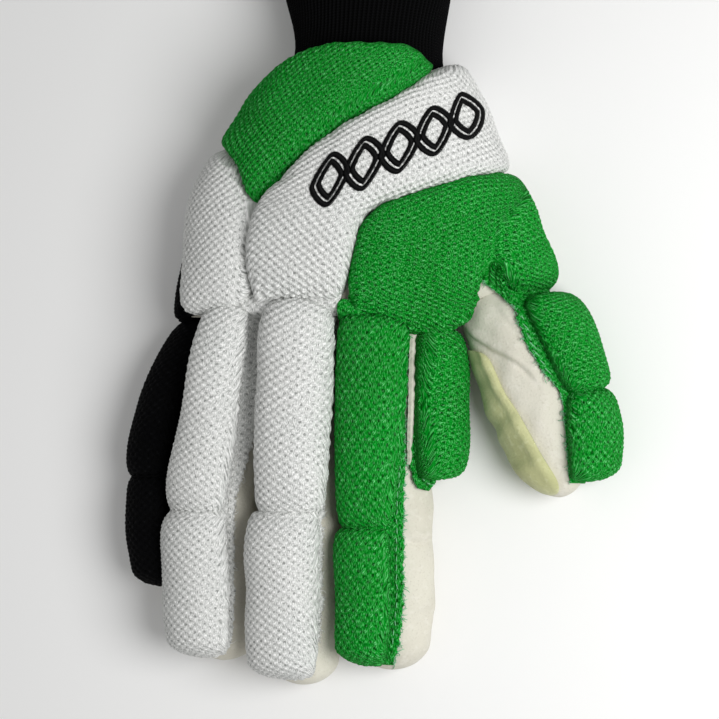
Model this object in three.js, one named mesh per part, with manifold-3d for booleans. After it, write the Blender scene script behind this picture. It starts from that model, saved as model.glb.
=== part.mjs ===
// Roller hockey glove for the right hand, in millimetres.
// X points to the thumb side, Y to the wrist and Z up, out of the back of the hand.
// The glove lies palm down, and its origin is on the flat underside of the palm.
//
// The hand with its cuff, the fingers and the thumb are tubes with a loaf-shaped section: flat under
// the palm, round at the sides and arched over the back. A place on a tube is given in pattern
// millimetres: s runs across from the ridge of the back, positive to the thumb side, y runs along
// the hand, and lift is the height over the leather. The pads are pillows drawn in those coordinates.

import * as THREE from 'three';
import { mergeVertices } from 'three/addons/utils/BufferGeometryUtils.js';
import Module from 'manifold-3d';

const leatherWall = 1.7;
const cuffWall = 3;
const patchWall = 1.2;
const patchCrown = 0.3;
const seamGap = 0.35; // clear space kept between sewn pieces
const padLift = 0.6; // underside of a pad over the leather
const padRim = 1; // thickness of a pad along its sewn edge
const cuffEnd = 114;
const cuffStart = 52; // the knitted cuff is sewn to the leather here
const knuckleEnd = -31.5; // the palm ends here and the fingers begin
const holeDepth = 3; // the hole to a finger is cut this far past both faces of the front wall
const tipRise = 0.1; // a tip closes towards a point above the middle, by this share of the height

// Steps round each half of a section, along a finger and over a pad.
const handRing = { back: 6, round: 4, flat: 3 };
const fingerRing = { back: 4, round: 4, flat: 1 };
const stallSteps = { along: 4, tip: 4 };
const fingerPadSteps = { across: 7, along: 7 };
const patchSteps = { across: 9, along: 8 };
const handStations = [cuffStart, 47, 41, 34, 27, 20, 12, 5, -3, -10, -16, -20, -24, -28, knuckleEnd];
const cuffStations = [cuffStart + seamGap, 58, 64, 80, 97, cuffEnd];
const thumbStations = [-4, -13, -22, -29, -36, -43, -50]; // where the thumb grows out of the hand

// A pillow's cross sections are superellipses, and its corners are drawn in.
const pillow = { acrossPower: 2.8, alongPower: 6, corner: 0.5, cornerPower: 9 };

const finishes = {
  green: { color: 0x14863a, roughness: 0.6, metalness: 0 },
  white: { color: 0xdfe0dd, roughness: 0.75, metalness: 0 },
  black: { color: 0x101112, roughness: 0.8, metalness: 0 },
  suede: { color: 0xdcd6c6, roughness: 0.9, metalness: 0 },
  patch: { color: 0xc6cb96, roughness: 0.85, metalness: 0 },
};

// Turns lines of numbers into rows with named columns.
function table(names, lines) {
  const columns = names.split(' ');
  return lines.map((line) => Object.fromEntries(columns.map((name, i) => [name, line[i]])));
}

// Stations from the wrist to the tip. x is the middle and base the underside of the section,
// left and right are its half widths, height its height, side the radius of its round sides,
// and roll turns its back towards the thumb, in degrees.
const stationColumns = 'y x base left right height side roll';

const hand = {
  stations: table(stationColumns, [
    [114, 22, 0, 29, 29, 42, 18, 0],
    [84, 18.5, 0, 27, 27, 40.5, 17.5, 0],
    [58, 15.5, 0, 25, 25, 38.5, 16.5, 0],
    [48, 14.5, 0, 27, 26.5, 38, 16, 0],
    [38, 13.5, 0, 32, 31, 38, 15, 0],
    [20, 10, 0, 40.5, 42, 37, 14, 0],
    [5, 6, 0, 44, 53.5, 36, 13, 0],
    [-10, 2, 0, 45.5, 64.5, 35, 12, 0],
    [-20, 0, 1, 45.5, 70.5, 33, 11.5, 0],
    [-26, -1.5, 2.5, 45, 66.5, 31, 11, 0],
    [-32, -3, 3.5, 44.5, 52, 29.5, 10.5, 0],
    [-42, -4, 4.5, 44, 46, 27, 10.5, 0],
  ]),
};

const index = {
  tip: -149,
  tipLength: 8,
  stations: table(stationColumns, [
    [-32, 23, 4.5, 12, 12, 24, 9, 0],
    [-66, 23, 5.5, 12.5, 12.5, 22.5, 9, 0],
    [-100, 23, 5, 13, 13, 21, 8.5, 0],
    [-125, 23, 2.5, 13, 13, 20, 8, 0],
    [-149, 22, 0.5, 12, 10.5, 18.5, 7.5, 0],
  ]),
};

const middle = {
  tip: -154.5,
  tipLength: 8,
  stations: table(stationColumns, [
    [-32, -4, 7.5, 12, 12, 24, 9, -4],
    [-66, -5, 8, 12, 12, 23, 9, -4],
    [-101, -6.5, 7, 12.5, 12.5, 21.5, 9, -4],
    [-130, -7.5, 3, 12.5, 12.5, 20.5, 8.5, -4],
    [-154.5, -8, 0.6, 12, 10.5, 19, 8, -4],
  ]),
};

const ring = {
  tip: -147,
  tipLength: 7,
  stations: table(stationColumns, [
    [-32, -26.9, 8.5, 9.5, 9.5, 20, 8, -10],
    [-66, -31.5, 7.5, 10, 10, 20.5, 8.5, -10],
    [-99, -35, 5.5, 10.5, 10.5, 20, 8.5, -10],
    [-125, -36, 2, 10.5, 10.5, 19.5, 8.5, -10],
    [-147, -36, 1, 10.5, 10.5, 18, 7.5, -10],
  ]),
};

const little = {
  tip: -121,
  tipLength: 7,
  stations: table(stationColumns, [
    [-32, -40.2, 1.2, 6.3, 6.3, 13, 5.8, -8],
    [-60, -50, 1.6, 8.2, 8.2, 17, 7.2, -28],
    [-86, -54.8, 1.6, 8.8, 8.8, 17, 7.2, -30],
    [-105, -55.2, 1.6, 8.8, 8.8, 16.5, 7, -30],
    [-121, -54.8, 1.6, 8.5, 8.5, 16, 6.8, -30],
  ]),
};

const thumb = {
  tip: -92.5,
  tipLength: 10,
  stations: table(stationColumns, [
    [-4, 47, 4, 13, 13, 14, 6, 0],
    [-22, 57, 3.4, 15, 15, 18.5, 8, 0],
    [-36, 63, 2.8, 16.5, 16.5, 23, 10, 0],
    [-50, 67.5, 2.4, 16.5, 16.5, 23.5, 10, 0],
    [-68, 72.5, 2.2, 15.5, 15.5, 22.5, 9.5, 0],
    [-80, 75.5, 2.2, 12.8, 12.5, 20.5, 9, 0],
    [-92.5, 78, 2.6, 9.5, 7.5, 17, 7.5, 0],
  ]),
};

// Outlines of the pads on the hand, as places [s, y]. Each has four sides that meet in corners,
// and a side is a smooth curve through its places.
const outlines = {
  wrist_pad: {
    upper: [[-46.5, 35], [-41, 39.5], [-33.5, 44.5], [-24, 50], [-9, 55.3], [9, 55.8], [20, 53.2], [27.5, 48.6]],
    right: [[-20.8, 2], [-14.4, 11.6], [-7.8, 19.1], [3, 28], [16, 37.8], [27.5, 48.6]],
    lower: [[-51, 30], [-43.8, 26.5], [-36.4, 19], [-29.2, 10], [-20.8, 2]],
    left: [[-51, 30], [-49.3, 32.3], [-46.5, 35]],
  },
  back_band_pad: {
    upper: [[-17.4, -30], [-20, -11.5], [-19.3, 2], [-13.8, 10.4], [-7.2, 18], [3.4, 26.8], [16.8, 36.6],
      [28.4, 47.3], [38, 51], [47, 53.5]],
    right: [[63, 16], [56, 35], [47, 53.5]],
    lower: [[13.6, -30.2], [13.7, -17], [14, -6.6], [18, 0.8], [30, 6.3], [44.4, 11.3], [54, 14.2], [63, 16]],
    left: [[13.6, -30.2], [5, -28.6], [-8, -28.2], [-17.4, -30]],
  },
  ring_knuckle_pad: {
    upper: [[-55.5, 22], [-54, 25.5], [-51.5, 28.7]],
    right: [[-18, -30.2], [-20.7, -11.5], [-22, 1], [-29.6, 8.6], [-36.9, 17.8], [-44.2, 25.2], [-51.5, 28.7]],
    lower: [[-43.5, -28.5], [-36.4, -30.8], [-26.4, -29.8], [-18, -30.2]],
    left: [[-43.5, -28.5], [-46.5, -15], [-50, 0], [-53, 11.5], [-55.5, 22]],
  },
  little_knuckle_pad: {
    upper: [[-64, 8], [-60, 11], [-54.2, 11]],
    right: [[-44.6, -30.6], [-47.2, -15], [-50.7, 0], [-54.2, 11]],
    lower: [[-58, -30.6], [-52, -31], [-44.6, -30.6]],
    left: [[-58, -30.6], [-62, -12], [-64, 8]],
  },
  index_thumb_pad: {
    upper: [[14.4, -32], [14.5, -17.5], [14.8, -7.4], [18.8, -0.4], [30.4, 5.2], [44.8, 10.2], [53, 12.6],
      [59, 13], [65.5, 4], [74, -9.5], [82, -26]],
    right: [[64.5, -25], [73, -27], [82, -26]],
    lower: [[51.6, -37], [54.2, -30], [55, -23], [57.5, -18], [61.5, -20], [64.5, -25]],
    left: [[51.6, -37], [43.8, -38.2], [34.9, -37.4], [25, -34.6], [14.4, -32]],
  },
};

const handPads = table('name crown across along finish', [
  ['wrist_pad', 10, 13, 11, 'green'],
  ['back_band_pad', 11, 16, 9, 'white'],
  ['ring_knuckle_pad', 10, 7, 11, 'white'],
  ['little_knuckle_pad', 4, 5, 8, 'black'],
  ['index_thumb_pad', 11, 17, 9, 'green'],
]);

// Pads on the fingers. near and far are the ends towards the wrist and the tip, each with the
// places of its left and right corner.
const fingerPadColumns = 'name nearLeft nearRight nearY nearSlant farLeft farRight farY farSlant crown';
const fingerPads = [
  [index, 'green', table(fingerPadColumns, [
    ['index_finger_pad', -12, 7.5, -33.5, -3.5, -12.3, 5.5, -101.5, 0, 11],
    ['index_tip_pad', -12.6, 5, -102.8, 0, -11.7, 4, -145.5, 0, 11],
    ['index_side_pad', 9.5, 24.5, -38, -0.5, 9.5, 24.5, -86.5, 2, 12],
  ])],
  [middle, 'white', table(fingerPadColumns, [
    ['middle_finger_pad', -10.5, 10, -32.3, -1, -10.5, 8.5, -97, 0.5, 11.5],
    ['middle_tip_pad', -12, 7.5, -98.3, 0.5, -11, 6, -151, 0, 11.5],
  ])],
  [ring, 'white', table(fingerPadColumns, [
    ['ring_finger_pad', -12, 7, -32.3, 0, -12.5, 6, -96.2, 0, 10.5],
    ['ring_tip_pad', -12.5, 5.8, -97.5, 0, -11.5, 5.8, -144.3, 0, 10.5],
  ])],
  [little, 'black', table(fingerPadColumns, [
    ['little_finger_pad', -9, 3, -34, 0, -10.8, 6, -84.5, 0, 7],
    ['little_tip_pad', -10.8, 5.5, -85.8, 0, -9, 5, -118.5, 0, 6],
  ])],
  [thumb, 'green', table(fingerPadColumns, [
    ['thumb_pad', 7, 30, -30, 5, 11, 29, -58.6, 3.2, 9.5],
    ['thumb_tip_pad', 11, 29, -60, 3.2, 5, 24, -87, 2, 9.5],
  ])],
];

// The thin patch on the side of the thumb that faces the index finger.
const thumbPatch = {
  upper: [[-36, -43], [-27, -44], [-17.5, -44.6], [-9.5, -46.2]],
  right: [[-1.5, -87], [-2.6, -79], [-4, -71], [-6.2, -65], [-8.6, -54.5], [-9.5, -46.2]],
  lower: [[-29, -87], [-20, -88.5], [-10, -88.5], [-1.5, -87]],
  left: [[-29, -87], [-34, -66], [-36, -43]],
};

const wasm = await Module();
wasm.setup();

// Slope of a column at each station, for a smooth curve through the table that never swings past
// a row: the harmonic mean of the slopes on both sides, and level where they turn.
function slopeAt(stations, i, name) {
  const rise = (k) => (stations[k + 1][name] - stations[k][name]) / (stations[k + 1].y - stations[k].y);
  if (i === 0) return rise(0);
  if (i === stations.length - 1) return rise(i - 1);
  const [before, after] = [rise(i - 1), rise(i)];
  return before * after > 0 ? 2 * before * after / (before + after) : 0;
}

// The section of a tube at y: a Hermite curve through each column, unchanged past both ends.
function sectionAt(tube, y) {
  const { stations } = tube;
  const next = stations.findIndex((row) => row.y < y);
  const i = next < 0 ? stations.length - 2 : Math.max(next - 1, 0);
  const [from, to] = [stations[i], stations[i + 1]];
  const width = to.y - from.y;
  const t = THREE.MathUtils.clamp((y - from.y) / width, 0, 1);
  const section = {};
  for (const name of Object.keys(from)) {
    const start = slopeAt(stations, i, name) * width;
    const end = slopeAt(stations, i + 1, name) * width;
    section[name] = (2 * t ** 3 - 3 * t ** 2 + 1) * from[name] + (t ** 3 - 2 * t ** 2 + t) * start
      + (3 * t ** 2 - 2 * t ** 3) * to[name] + (t ** 3 - t ** 2) * end;
  }
  return section;
}

// Lengths round one half of a section: the arched back, the round side and the flat underside.
function arcs(section, half) {
  const { height, side } = section;
  const arch = 2 * Math.atan2(height - 2 * side, half - side);
  const radius = side + (half - side) / Math.sin(arch);
  return { arch, radius, back: radius * arch, round: side * (Math.PI - arch), flat: half - side };
}

// How far a tube has closed at y, from 1 along the finger to 0 at its tip.
function tipScale(tube, y, wall) {
  if (tube.tip === undefined) return 1;
  const into = (tube.tip + tube.tipLength - y) / (tube.tipLength - wall);
  return into <= 0 ? 1 : Math.sqrt(Math.max(0, 1 - into * into));
}

// The point of a tube at pattern place s, y, at a height over its leather. The inside of a
// finger closes earlier than its outside, by the wall.
function skinPoint(tube, s, y, lift, wall = 0) {
  const section = sectionAt(tube, y);
  const { height, side } = section;
  const { arch, radius, back, round } = arcs(section, s < 0 ? section.left : section.right);
  const away = Math.abs(s);
  let across;
  let up;
  if (away <= back) {
    const turn = away / radius;
    across = (radius + lift) * Math.sin(turn);
    up = height / 2 - radius + (radius + lift) * Math.cos(turn);
  } else {
    const turn = Math.min(arch + (away - back) / side, Math.PI);
    const inward = Math.max(away - back - round, 0);
    across = (radius - side) * Math.sin(arch) + (side + lift) * Math.sin(turn) - inward;
    up = height / 2 - radius + (radius - side) * Math.cos(arch) + (side + lift) * Math.cos(turn);
  }
  const closing = tipScale(tube, y, wall);
  across *= Math.sign(s) * closing;
  up = tipRise * height + (up - tipRise * height) * closing;
  const roll = THREE.MathUtils.degToRad(section.roll);
  return new THREE.Vector3(
    section.x + across * Math.cos(roll) + up * Math.sin(roll),
    y,
    section.base + height / 2 - across * Math.sin(roll) + up * Math.cos(roll),
  );
}

// One ring of points round a tube at y, over the thumb side first.
function ringAt(tube, y, lift, steps, wall = 0) {
  const section = sectionAt(tube, y);
  const points = [];
  for (const side of [1, -1]) {
    const { back, round, flat } = arcs(section, side > 0 ? section.right : section.left);
    const half = [];
    for (let i = 0; i < steps.back; i += 1) half.push(back * i / steps.back);
    for (let i = 0; i < steps.round; i += 1) half.push(back + round * i / steps.round);
    for (let i = 0; i <= steps.flat; i += 1) half.push(back + round + flat * i / steps.flat);
    const placed = half.map((s) => skinPoint(tube, side * s, y, lift, wall));
    points.push(...(side > 0 ? placed : placed.slice(1, -1).reverse()));
  }
  return points;
}

// Builds a geometry from points and triangles, and turns its faces outwards if its volume is negative.
function closedMesh(points, faces) {
  const volume = faces.reduce((sum, [a, b, c]) => (
    sum + points[a].dot(new THREE.Vector3().crossVectors(points[b], points[c]))), 0);
  const outward = volume < 0 ? faces.map(([a, b, c]) => [a, c, b]) : faces;
  const geometry = new THREE.BufferGeometry();
  geometry.setAttribute('position', new THREE.Float32BufferAttribute(points.flatMap((p) => p.toArray()), 3));
  geometry.setIndex(outward.flat());
  return geometry;
}

// The triangles between ring r and ring s, of count points each.
function band(r, s, count) {
  const faces = [];
  for (let i = 0; i < count; i += 1) {
    const j = (i + 1) % count;
    faces.push([r * count + i, r * count + j, s * count + j], [r * count + i, s * count + j, s * count + i]);
  }
  return faces;
}

// A closed mesh through rings of equal length, with a fan over its first and its last ring.
function skin(rings) {
  const count = rings[0].length;
  const points = rings.flat();
  const faces = [];
  for (let r = 0; r + 1 < rings.length; r += 1) faces.push(...band(r, r + 1, count));
  for (const ringNumber of [0, rings.length - 1]) {
    const centre = new THREE.Vector3();
    rings[ringNumber].forEach((p) => centre.addScaledVector(p, 1 / count));
    points.push(centre);
    for (let i = 0; i < count; i += 1) {
      const edge = [ringNumber * count + i, ringNumber * count + (i + 1) % count];
      if (ringNumber === 0) edge.reverse();
      faces.push([...edge, points.length - 1]);
    }
  }
  return closedMesh(points, faces);
}

// A tube with walls: the rings run along its inside, back along its outside, and join up.
function tubeWall(rings) {
  const faces = rings.flatMap((_, r) => band(r, (r + 1) % rings.length, rings[0].length));
  return closedMesh(rings.flat(), faces);
}

function toManifold(geometry) {
  const merged = mergeVertices(geometry.clone());
  return new wasm.Manifold(new wasm.Mesh({
    numProp: 3,
    vertProperties: new Float32Array(merged.attributes.position.array),
    triVerts: new Uint32Array(merged.index.array),
  }));
}

function fromManifold(solid) {
  const { vertProperties, triVerts } = solid.getMesh();
  const geometry = new THREE.BufferGeometry();
  geometry.setAttribute('position', new THREE.BufferAttribute(vertProperties, 3));
  geometry.setIndex(new THREE.BufferAttribute(triVerts, 1));
  return geometry;
}

// The solid inside a tube between its stations, grown or shrunk by lift.
function plug(tube, stations, lift, steps) {
  return toManifold(skin(stations.map((y) => ringAt(tube, y, lift, steps))));
}

// Stations from the mouth to the tip: even steps, then closer ones where the tip rounds off.
function stationsTo(tube, mouth, wall) {
  const bend = tube.tip + tube.tipLength;
  const stations = [];
  for (let i = 0; i < stallSteps.along; i += 1) stations.push(mouth + (bend - mouth) * i / stallSteps.along);
  for (let i = 0; i < stallSteps.tip; i += 1) {
    stations.push(bend - (tube.tipLength - wall) * Math.sin(Math.PI / 2 * i / stallSteps.tip));
  }
  return stations;
}

// A hollow finger: its inner wall from the tip to the mouth, then its outer wall back to the tip.
function stall(tube, mouth) {
  const innerStations = stationsTo(tube, mouth, leatherWall);
  const inner = innerStations.map((y) => ringAt(tube, y, -leatherWall, fingerRing, leatherWall));
  const outer = stationsTo(tube, mouth, 0).map((y) => ringAt(tube, y, 0, fingerRing));
  return skin([...inner.reverse(), ...outer]);
}

// The hand's leather: a tube with a front wall, open at the wrist and through to each finger.
function palmShell() {
  const hollowStations = [cuffStart + 1, ...handStations.slice(0, -1), knuckleEnd + leatherWall];
  const hollow = plug(hand, hollowStations, -leatherWall, handRing);
  const holeStations = [knuckleEnd + leatherWall + holeDepth, knuckleEnd - holeDepth];
  let shell = plug(hand, handStations, 0, handRing).subtract(hollow);
  for (const finger of [index, middle, ring, little]) {
    shell = shell.subtract(plug(finger, holeStations, -leatherWall, fingerRing));
  }
  return fromManifold(shell.subtract(plug(thumb, thumbStations, -leatherWall, fingerRing)));
}

// The thumb grows out of the hand's side, and its open root follows the leather of the hand.
function thumbStall() {
  const frontWall = plug(hand, [knuckleEnd + 1, knuckleEnd - seamGap], seamGap, handRing);
  return fromManifold(toManifold(stall(thumb, thumbStations[0])).subtract(handSpace).subtract(frontWall));
}

// The knitted cuff carries the tube of the hand on past the wrist.
function wristCuff() {
  const inner = cuffStations.map((y) => ringAt(hand, y, -cuffWall, handRing));
  const outer = cuffStations.map((y) => ringAt(hand, y, 0, handRing));
  return tubeWall([...inner, ...outer.reverse()]);
}

// A smooth curve through the places of one side. Its parameter follows the length along it.
function sideCurve(places) {
  return new THREE.SplineCurve(places.map(([s, y]) => new THREE.Vector2(s, y)));
}

// A place inside a four-sided outline: the sides are blended so that all four are met exactly.
function blendSides(sides, across, along) {
  const on = (name, t) => sides[name].getPointAt(THREE.MathUtils.clamp(t, 0, 1));
  const mix = (a, b, t) => a.clone().lerp(b, t);
  const rows = mix(on('lower', across), on('upper', across), along);
  const columns = mix(on('left', along), on('right', along), across);
  const lowerCorners = mix(on('lower', 0), on('lower', 1), across);
  const upperCorners = mix(on('upper', 0), on('upper', 1), across);
  return rows.add(columns).sub(mix(lowerCorners, upperCorners, along));
}

// A pillow on a tube: a grid from -1 to 1 both ways, with its corners drawn in, raised in a
// crown that falls steeply to the rim, and closed with a skirt and an underside.
function pillowMesh(tube, outline, crown, steps, rim = padRim) {
  const curves = Object.entries(outline).map(([name, places]) => [name, sideCurve(places)]);
  const sides = Object.fromEntries(curves);
  const spread = (i, count) => Math.sin(Math.PI * (i / count - 0.5));
  const { corner, cornerPower, acrossPower, alongPower } = pillow;
  const drawIn = (value, other) => value * (1 - corner * Math.abs(other) ** cornerPower) ** (1 / cornerPower);
  const dome = (value, power) => (1 - Math.abs(value) ** power) ** (1 / power);
  const top = [];
  const under = [];
  for (let j = 0; j <= steps.along; j += 1) {
    for (let i = 0; i <= steps.across; i += 1) {
      const u = spread(i, steps.across);
      const v = spread(j, steps.along);
      const place = blendSides(sides, (drawIn(u, v) + 1) / 2, (drawIn(v, u) + 1) / 2);
      const rise = crown * dome(u, acrossPower) * dome(v, alongPower);
      top.push(skinPoint(tube, place.x, place.y, padLift + rim + rise));
      under.push(skinPoint(tube, place.x, place.y, padLift));
    }
  }
  return shellBetween(top, under, steps);
}

// Closes the space between two grids of points with the same steps.
function shellBetween(top, under, steps) {
  const row = steps.across + 1;
  const faces = [];
  const quad = (a, b, c, d) => faces.push([a, b, c], [a, c, d]);
  for (let j = 0; j < steps.along; j += 1) {
    for (let i = 0; i < steps.across; i += 1) {
      const a = j * row + i;
      const b = a + top.length;
      quad(a, a + 1, a + 1 + row, a + row);
      quad(b, b + row, b + 1 + row, b + 1);
    }
  }
  const edge = [];
  for (let i = 0; i < steps.across; i += 1) edge.push(i);
  for (let j = 0; j < steps.along; j += 1) edge.push(j * row + steps.across);
  for (let i = steps.across; i > 0; i -= 1) edge.push(steps.along * row + i);
  for (let j = steps.along; j > 0; j -= 1) edge.push(j * row);
  edge.forEach((a, k) => {
    const b = edge[(k + 1) % edge.length];
    quad(a, a + top.length, b + top.length, b);
  });
  return closedMesh([...top, ...under], faces);
}

// The outline of a finger pad from its row: two ends, each slanted from its left to its right corner.
function fingerOutline(row) {
  const near = [[row.nearLeft, row.nearY], [row.nearRight, row.nearY + row.nearSlant]];
  const far = [[row.farLeft, row.farY], [row.farRight, row.farY + row.farSlant]];
  return { upper: near, lower: far, left: [far[0], near[0]], right: [far[1], near[1]] };
}

const glove = new THREE.Group();

function add(name, geometry, finish) {
  geometry.computeVertexNormals();
  const mesh = new THREE.Mesh(geometry, new THREE.MeshStandardMaterial(finish));
  mesh.name = name;
  glove.add(mesh);
}

const wristStations = cuffStations.slice(1, 3).reverse();
const handSpace = plug(hand, [...wristStations, ...handStations], seamGap, handRing);
const thumbSpace = plug(thumb, thumbStations, seamGap, fingerRing);

add('palm_shell', palmShell(), finishes.suede);
for (const [name, tube] of Object.entries({ index, middle, ring, little })) {
  add(`${name}_stall`, stall(tube, knuckleEnd - seamGap), finishes.suede);
}
add('thumb_stall', thumbStall(), finishes.suede);
add('thumb_palm_patch', pillowMesh(thumb, thumbPatch, patchCrown, patchSteps, patchWall), finishes.patch);
add('wrist_cuff', wristCuff(), finishes.black);

for (const row of handPads) {
  let geometry = pillowMesh(hand, outlines[row.name], row.crown, row);
  if (row.name === 'index_thumb_pad') { // it reaches over the root of the thumb
    geometry = fromManifold(toManifold(geometry).subtract(thumbSpace).subtract(handSpace));
  }
  add(row.name, geometry, finishes[row.finish]);
}

for (const [tube, finish, rows] of fingerPads) {
  for (const row of rows) {
    add(row.name, pillowMesh(tube, fingerOutline(row), row.crown, fingerPadSteps), finishes[finish]);
  }
}

export default glove;
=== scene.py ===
import bpy
import numpy as np
from mathutils import Matrix, Vector
from mathutils.kdtree import KDTree


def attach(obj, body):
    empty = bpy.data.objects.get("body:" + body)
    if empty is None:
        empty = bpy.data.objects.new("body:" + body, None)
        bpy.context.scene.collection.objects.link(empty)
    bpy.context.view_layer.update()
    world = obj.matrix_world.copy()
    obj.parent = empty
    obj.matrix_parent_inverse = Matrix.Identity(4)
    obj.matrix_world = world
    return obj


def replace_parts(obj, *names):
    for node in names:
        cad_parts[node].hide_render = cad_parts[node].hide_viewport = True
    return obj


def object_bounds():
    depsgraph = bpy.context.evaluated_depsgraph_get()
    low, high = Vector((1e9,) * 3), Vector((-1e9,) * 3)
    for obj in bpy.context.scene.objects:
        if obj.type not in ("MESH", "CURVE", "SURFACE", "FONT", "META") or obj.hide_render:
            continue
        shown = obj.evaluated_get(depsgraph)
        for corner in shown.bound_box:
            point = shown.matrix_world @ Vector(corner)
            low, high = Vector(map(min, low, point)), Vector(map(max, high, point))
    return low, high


# Roller hockey glove for the right hand, palm down, X to the thumb side and Y to the wrist.
# Shapes are worked out in millimetres and put into their meshes in metres.
# The hand, the fingers and the thumb are tubes. A place on a tube is s, y: s runs across from the
# ridge of the back, positive to the thumb side, and y along the hand. Lift is the height over it.

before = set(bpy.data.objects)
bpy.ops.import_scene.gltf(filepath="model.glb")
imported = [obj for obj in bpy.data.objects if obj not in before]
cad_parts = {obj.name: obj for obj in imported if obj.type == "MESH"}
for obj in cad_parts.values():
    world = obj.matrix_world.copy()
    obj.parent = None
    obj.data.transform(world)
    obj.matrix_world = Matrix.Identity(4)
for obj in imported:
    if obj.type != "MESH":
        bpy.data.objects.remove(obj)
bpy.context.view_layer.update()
scene = bpy.context.scene
mm = 0.001
print("frame loaded")

# y x base left right height side roll, as in the tubes of the solids
tubeRows = {
    "hand": [
        [114, 22, 0, 35.4, 29, 42, 18, 0], [84, 18.5, 0, 32.4, 27, 40.5, 17.5, 0],
        [58, 15.5, 0, 25, 25, 38.5, 16.5, 0], [48, 14.5, 0, 27, 26.5, 38, 16, 0],
        [38, 13.5, 0, 32, 31, 38, 15, 0], [20, 10, 0, 40.5, 42, 37, 14, 0], [5, 6, 0, 44, 53.5, 36, 13, 0],
        [-10, 2, 0, 45.5, 64.5, 35, 12, 0], [-20, 0, 1, 45.5, 70.5, 33, 11.5, 0],
        [-26, -1.5, 2.5, 45, 66.5, 31, 11, 0], [-32, -3, 3.5, 44.5, 52, 29.5, 10.5, 0],
        [-42, -4, 4.5, 44, 46, 27, 10.5, 0],
    ],
    "index": [
        [-32, 23, 4.5, 12, 12, 24, 9, 0], [-66, 23, 5.5, 12.5, 12.5, 22.5, 9, 0],
        [-100, 23, 5, 13, 13, 21, 8.5, 0], [-125, 23, 2.5, 13, 13, 20, 8, 0],
        [-149, 22, 0.5, 12, 10.5, 18.5, 7.5, 0],
    ],
    "middle": [
        [-32, -4, 7.5, 12, 12, 24, 9, -4], [-66, -5, 8, 12, 12, 23, 9, -4],
        [-101, -6.5, 7, 12.5, 12.5, 21.5, 9, -4], [-130, -7.5, 3, 12.5, 12.5, 20.5, 8.5, -4],
        [-154.5, -8, 0.6, 12, 10.5, 19, 8, -4],
    ],
    "ring": [
        [-32, -26.9, 8.5, 9.5, 9.5, 20, 8, -10], [-66, -31.5, 7.5, 10, 10, 20.5, 8.5, -10],
        [-99, -35, 5.5, 10.5, 10.5, 20, 8.5, -10], [-125, -36, 2, 10.5, 10.5, 19.5, 8.5, -10],
        [-147, -36, 1, 10.5, 10.5, 18, 7.5, -10],
    ],
    "little": [
        [-32, -40.2, 1.2, 6.3, 6.3, 13, 5.8, -8], [-60, -50, 1.6, 8.2, 8.2, 17, 7.2, -28],
        [-86, -54.8, 1.6, 8.8, 8.8, 17, 7.2, -30], [-105, -55.2, 1.6, 8.8, 8.8, 16.5, 7, -30],
        [-124, -54, 1.6, 7.8, 7.8, 15, 6.6, -30],
    ],
    "thumb": [
        [-4, 47, 4, 13, 13, 14, 6, 0], [-22, 57, 3.4, 15, 15, 18.5, 8, 0],
        [-36, 63, 2.8, 16.5, 16.5, 23, 10, 0], [-50, 67.5, 2.4, 16.5, 16.5, 23.5, 10, 0],
        [-68, 72.5, 2.2, 15.5, 15.5, 22.5, 9.5, 0], [-80, 75.5, 2.2, 12.8, 12.5, 20.5, 9, 0],
        [-92.5, 78, 2.6, 9.5, 7.5, 17, 7.5, 0],
    ],
}
tipLengths = {"index": 8, "middle": 8, "ring": 7, "little": 7, "thumb": 10}
tubes = {name: {"rows": rows} for name, rows in tubeRows.items()}
for name, length in tipLengths.items():
    tubes[name].update(tip=tubeRows[name][-1][0], tipLength=length)
tipRise = 0.1          # a tip closes towards this share of the height
leatherWall = 1.7


def smooth(low, high, value):
    # 0 below low, 1 above high, and 3t^2 - 2t^3 between
    t = np.clip((value - low) / (high - low), 0, 1)
    return t * t * (3 - 2 * t)


def ripple(places, size, seed):
    # soft noise, mostly from -1 to 1: a quarter of the sum of eight sine waves in seeded directions,
    # each near that size
    rng = np.random.default_rng(seed)
    total = 0
    for _ in range(8):
        way = rng.normal(size=places.shape[-1])
        way *= 2 * np.pi / (size * rng.uniform(0.7, 1.5) * np.linalg.norm(way))
        total = total + np.sin(places @ way + rng.uniform(0, 7))
    return total / 4


def unit(vectors):
    # each over its length
    return vectors / np.maximum(np.linalg.norm(vectors, axis=-1, keepdims=True), 1e-9)


def hermite(t, start, leaving, end, arriving):
    # cubic from start to end that leaves and arrives with those slopes
    points = (2 * t**3 - 3 * t**2 + 1) * start + (t**3 - 2 * t**2 + t) * leaving
    return points + (3 * t**2 - 2 * t**3) * end + (t**3 - t**2) * arriving


def curveThrough(places, count):
    # Catmull-Rom curve through the places, with that many points to a span
    places = np.array(places, float)
    ends = np.concatenate([places[:1], places, places[-1:]])
    p0, p1, p2, p3 = [ends[i:i + len(places) - 1][:, None] for i in range(4)]
    line = hermite(np.linspace(0, 1, count)[:, None], p1, (p2 - p0) / 2, p2, (p3 - p1) / 2)
    return line.reshape(-1, places.shape[1])


def walkAlong(line):
    # how far along the line each of its points is
    return np.concatenate([[0], np.cumsum(np.linalg.norm(np.diff(line, axis=0), axis=1))])


def placesAt(at, walked, line):
    # the points of the line at those lengths
    return np.stack([np.interp(at, walked, line[:, k]) for k in range(line.shape[1])], axis=-1)


def smoothLine(places, count):
    # a curve through the places, sampled evenly along its length
    line = curveThrough(places, 40)
    walked = walkAlong(line)
    return placesAt(np.linspace(0, walked[-1], count), walked, line)


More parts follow.
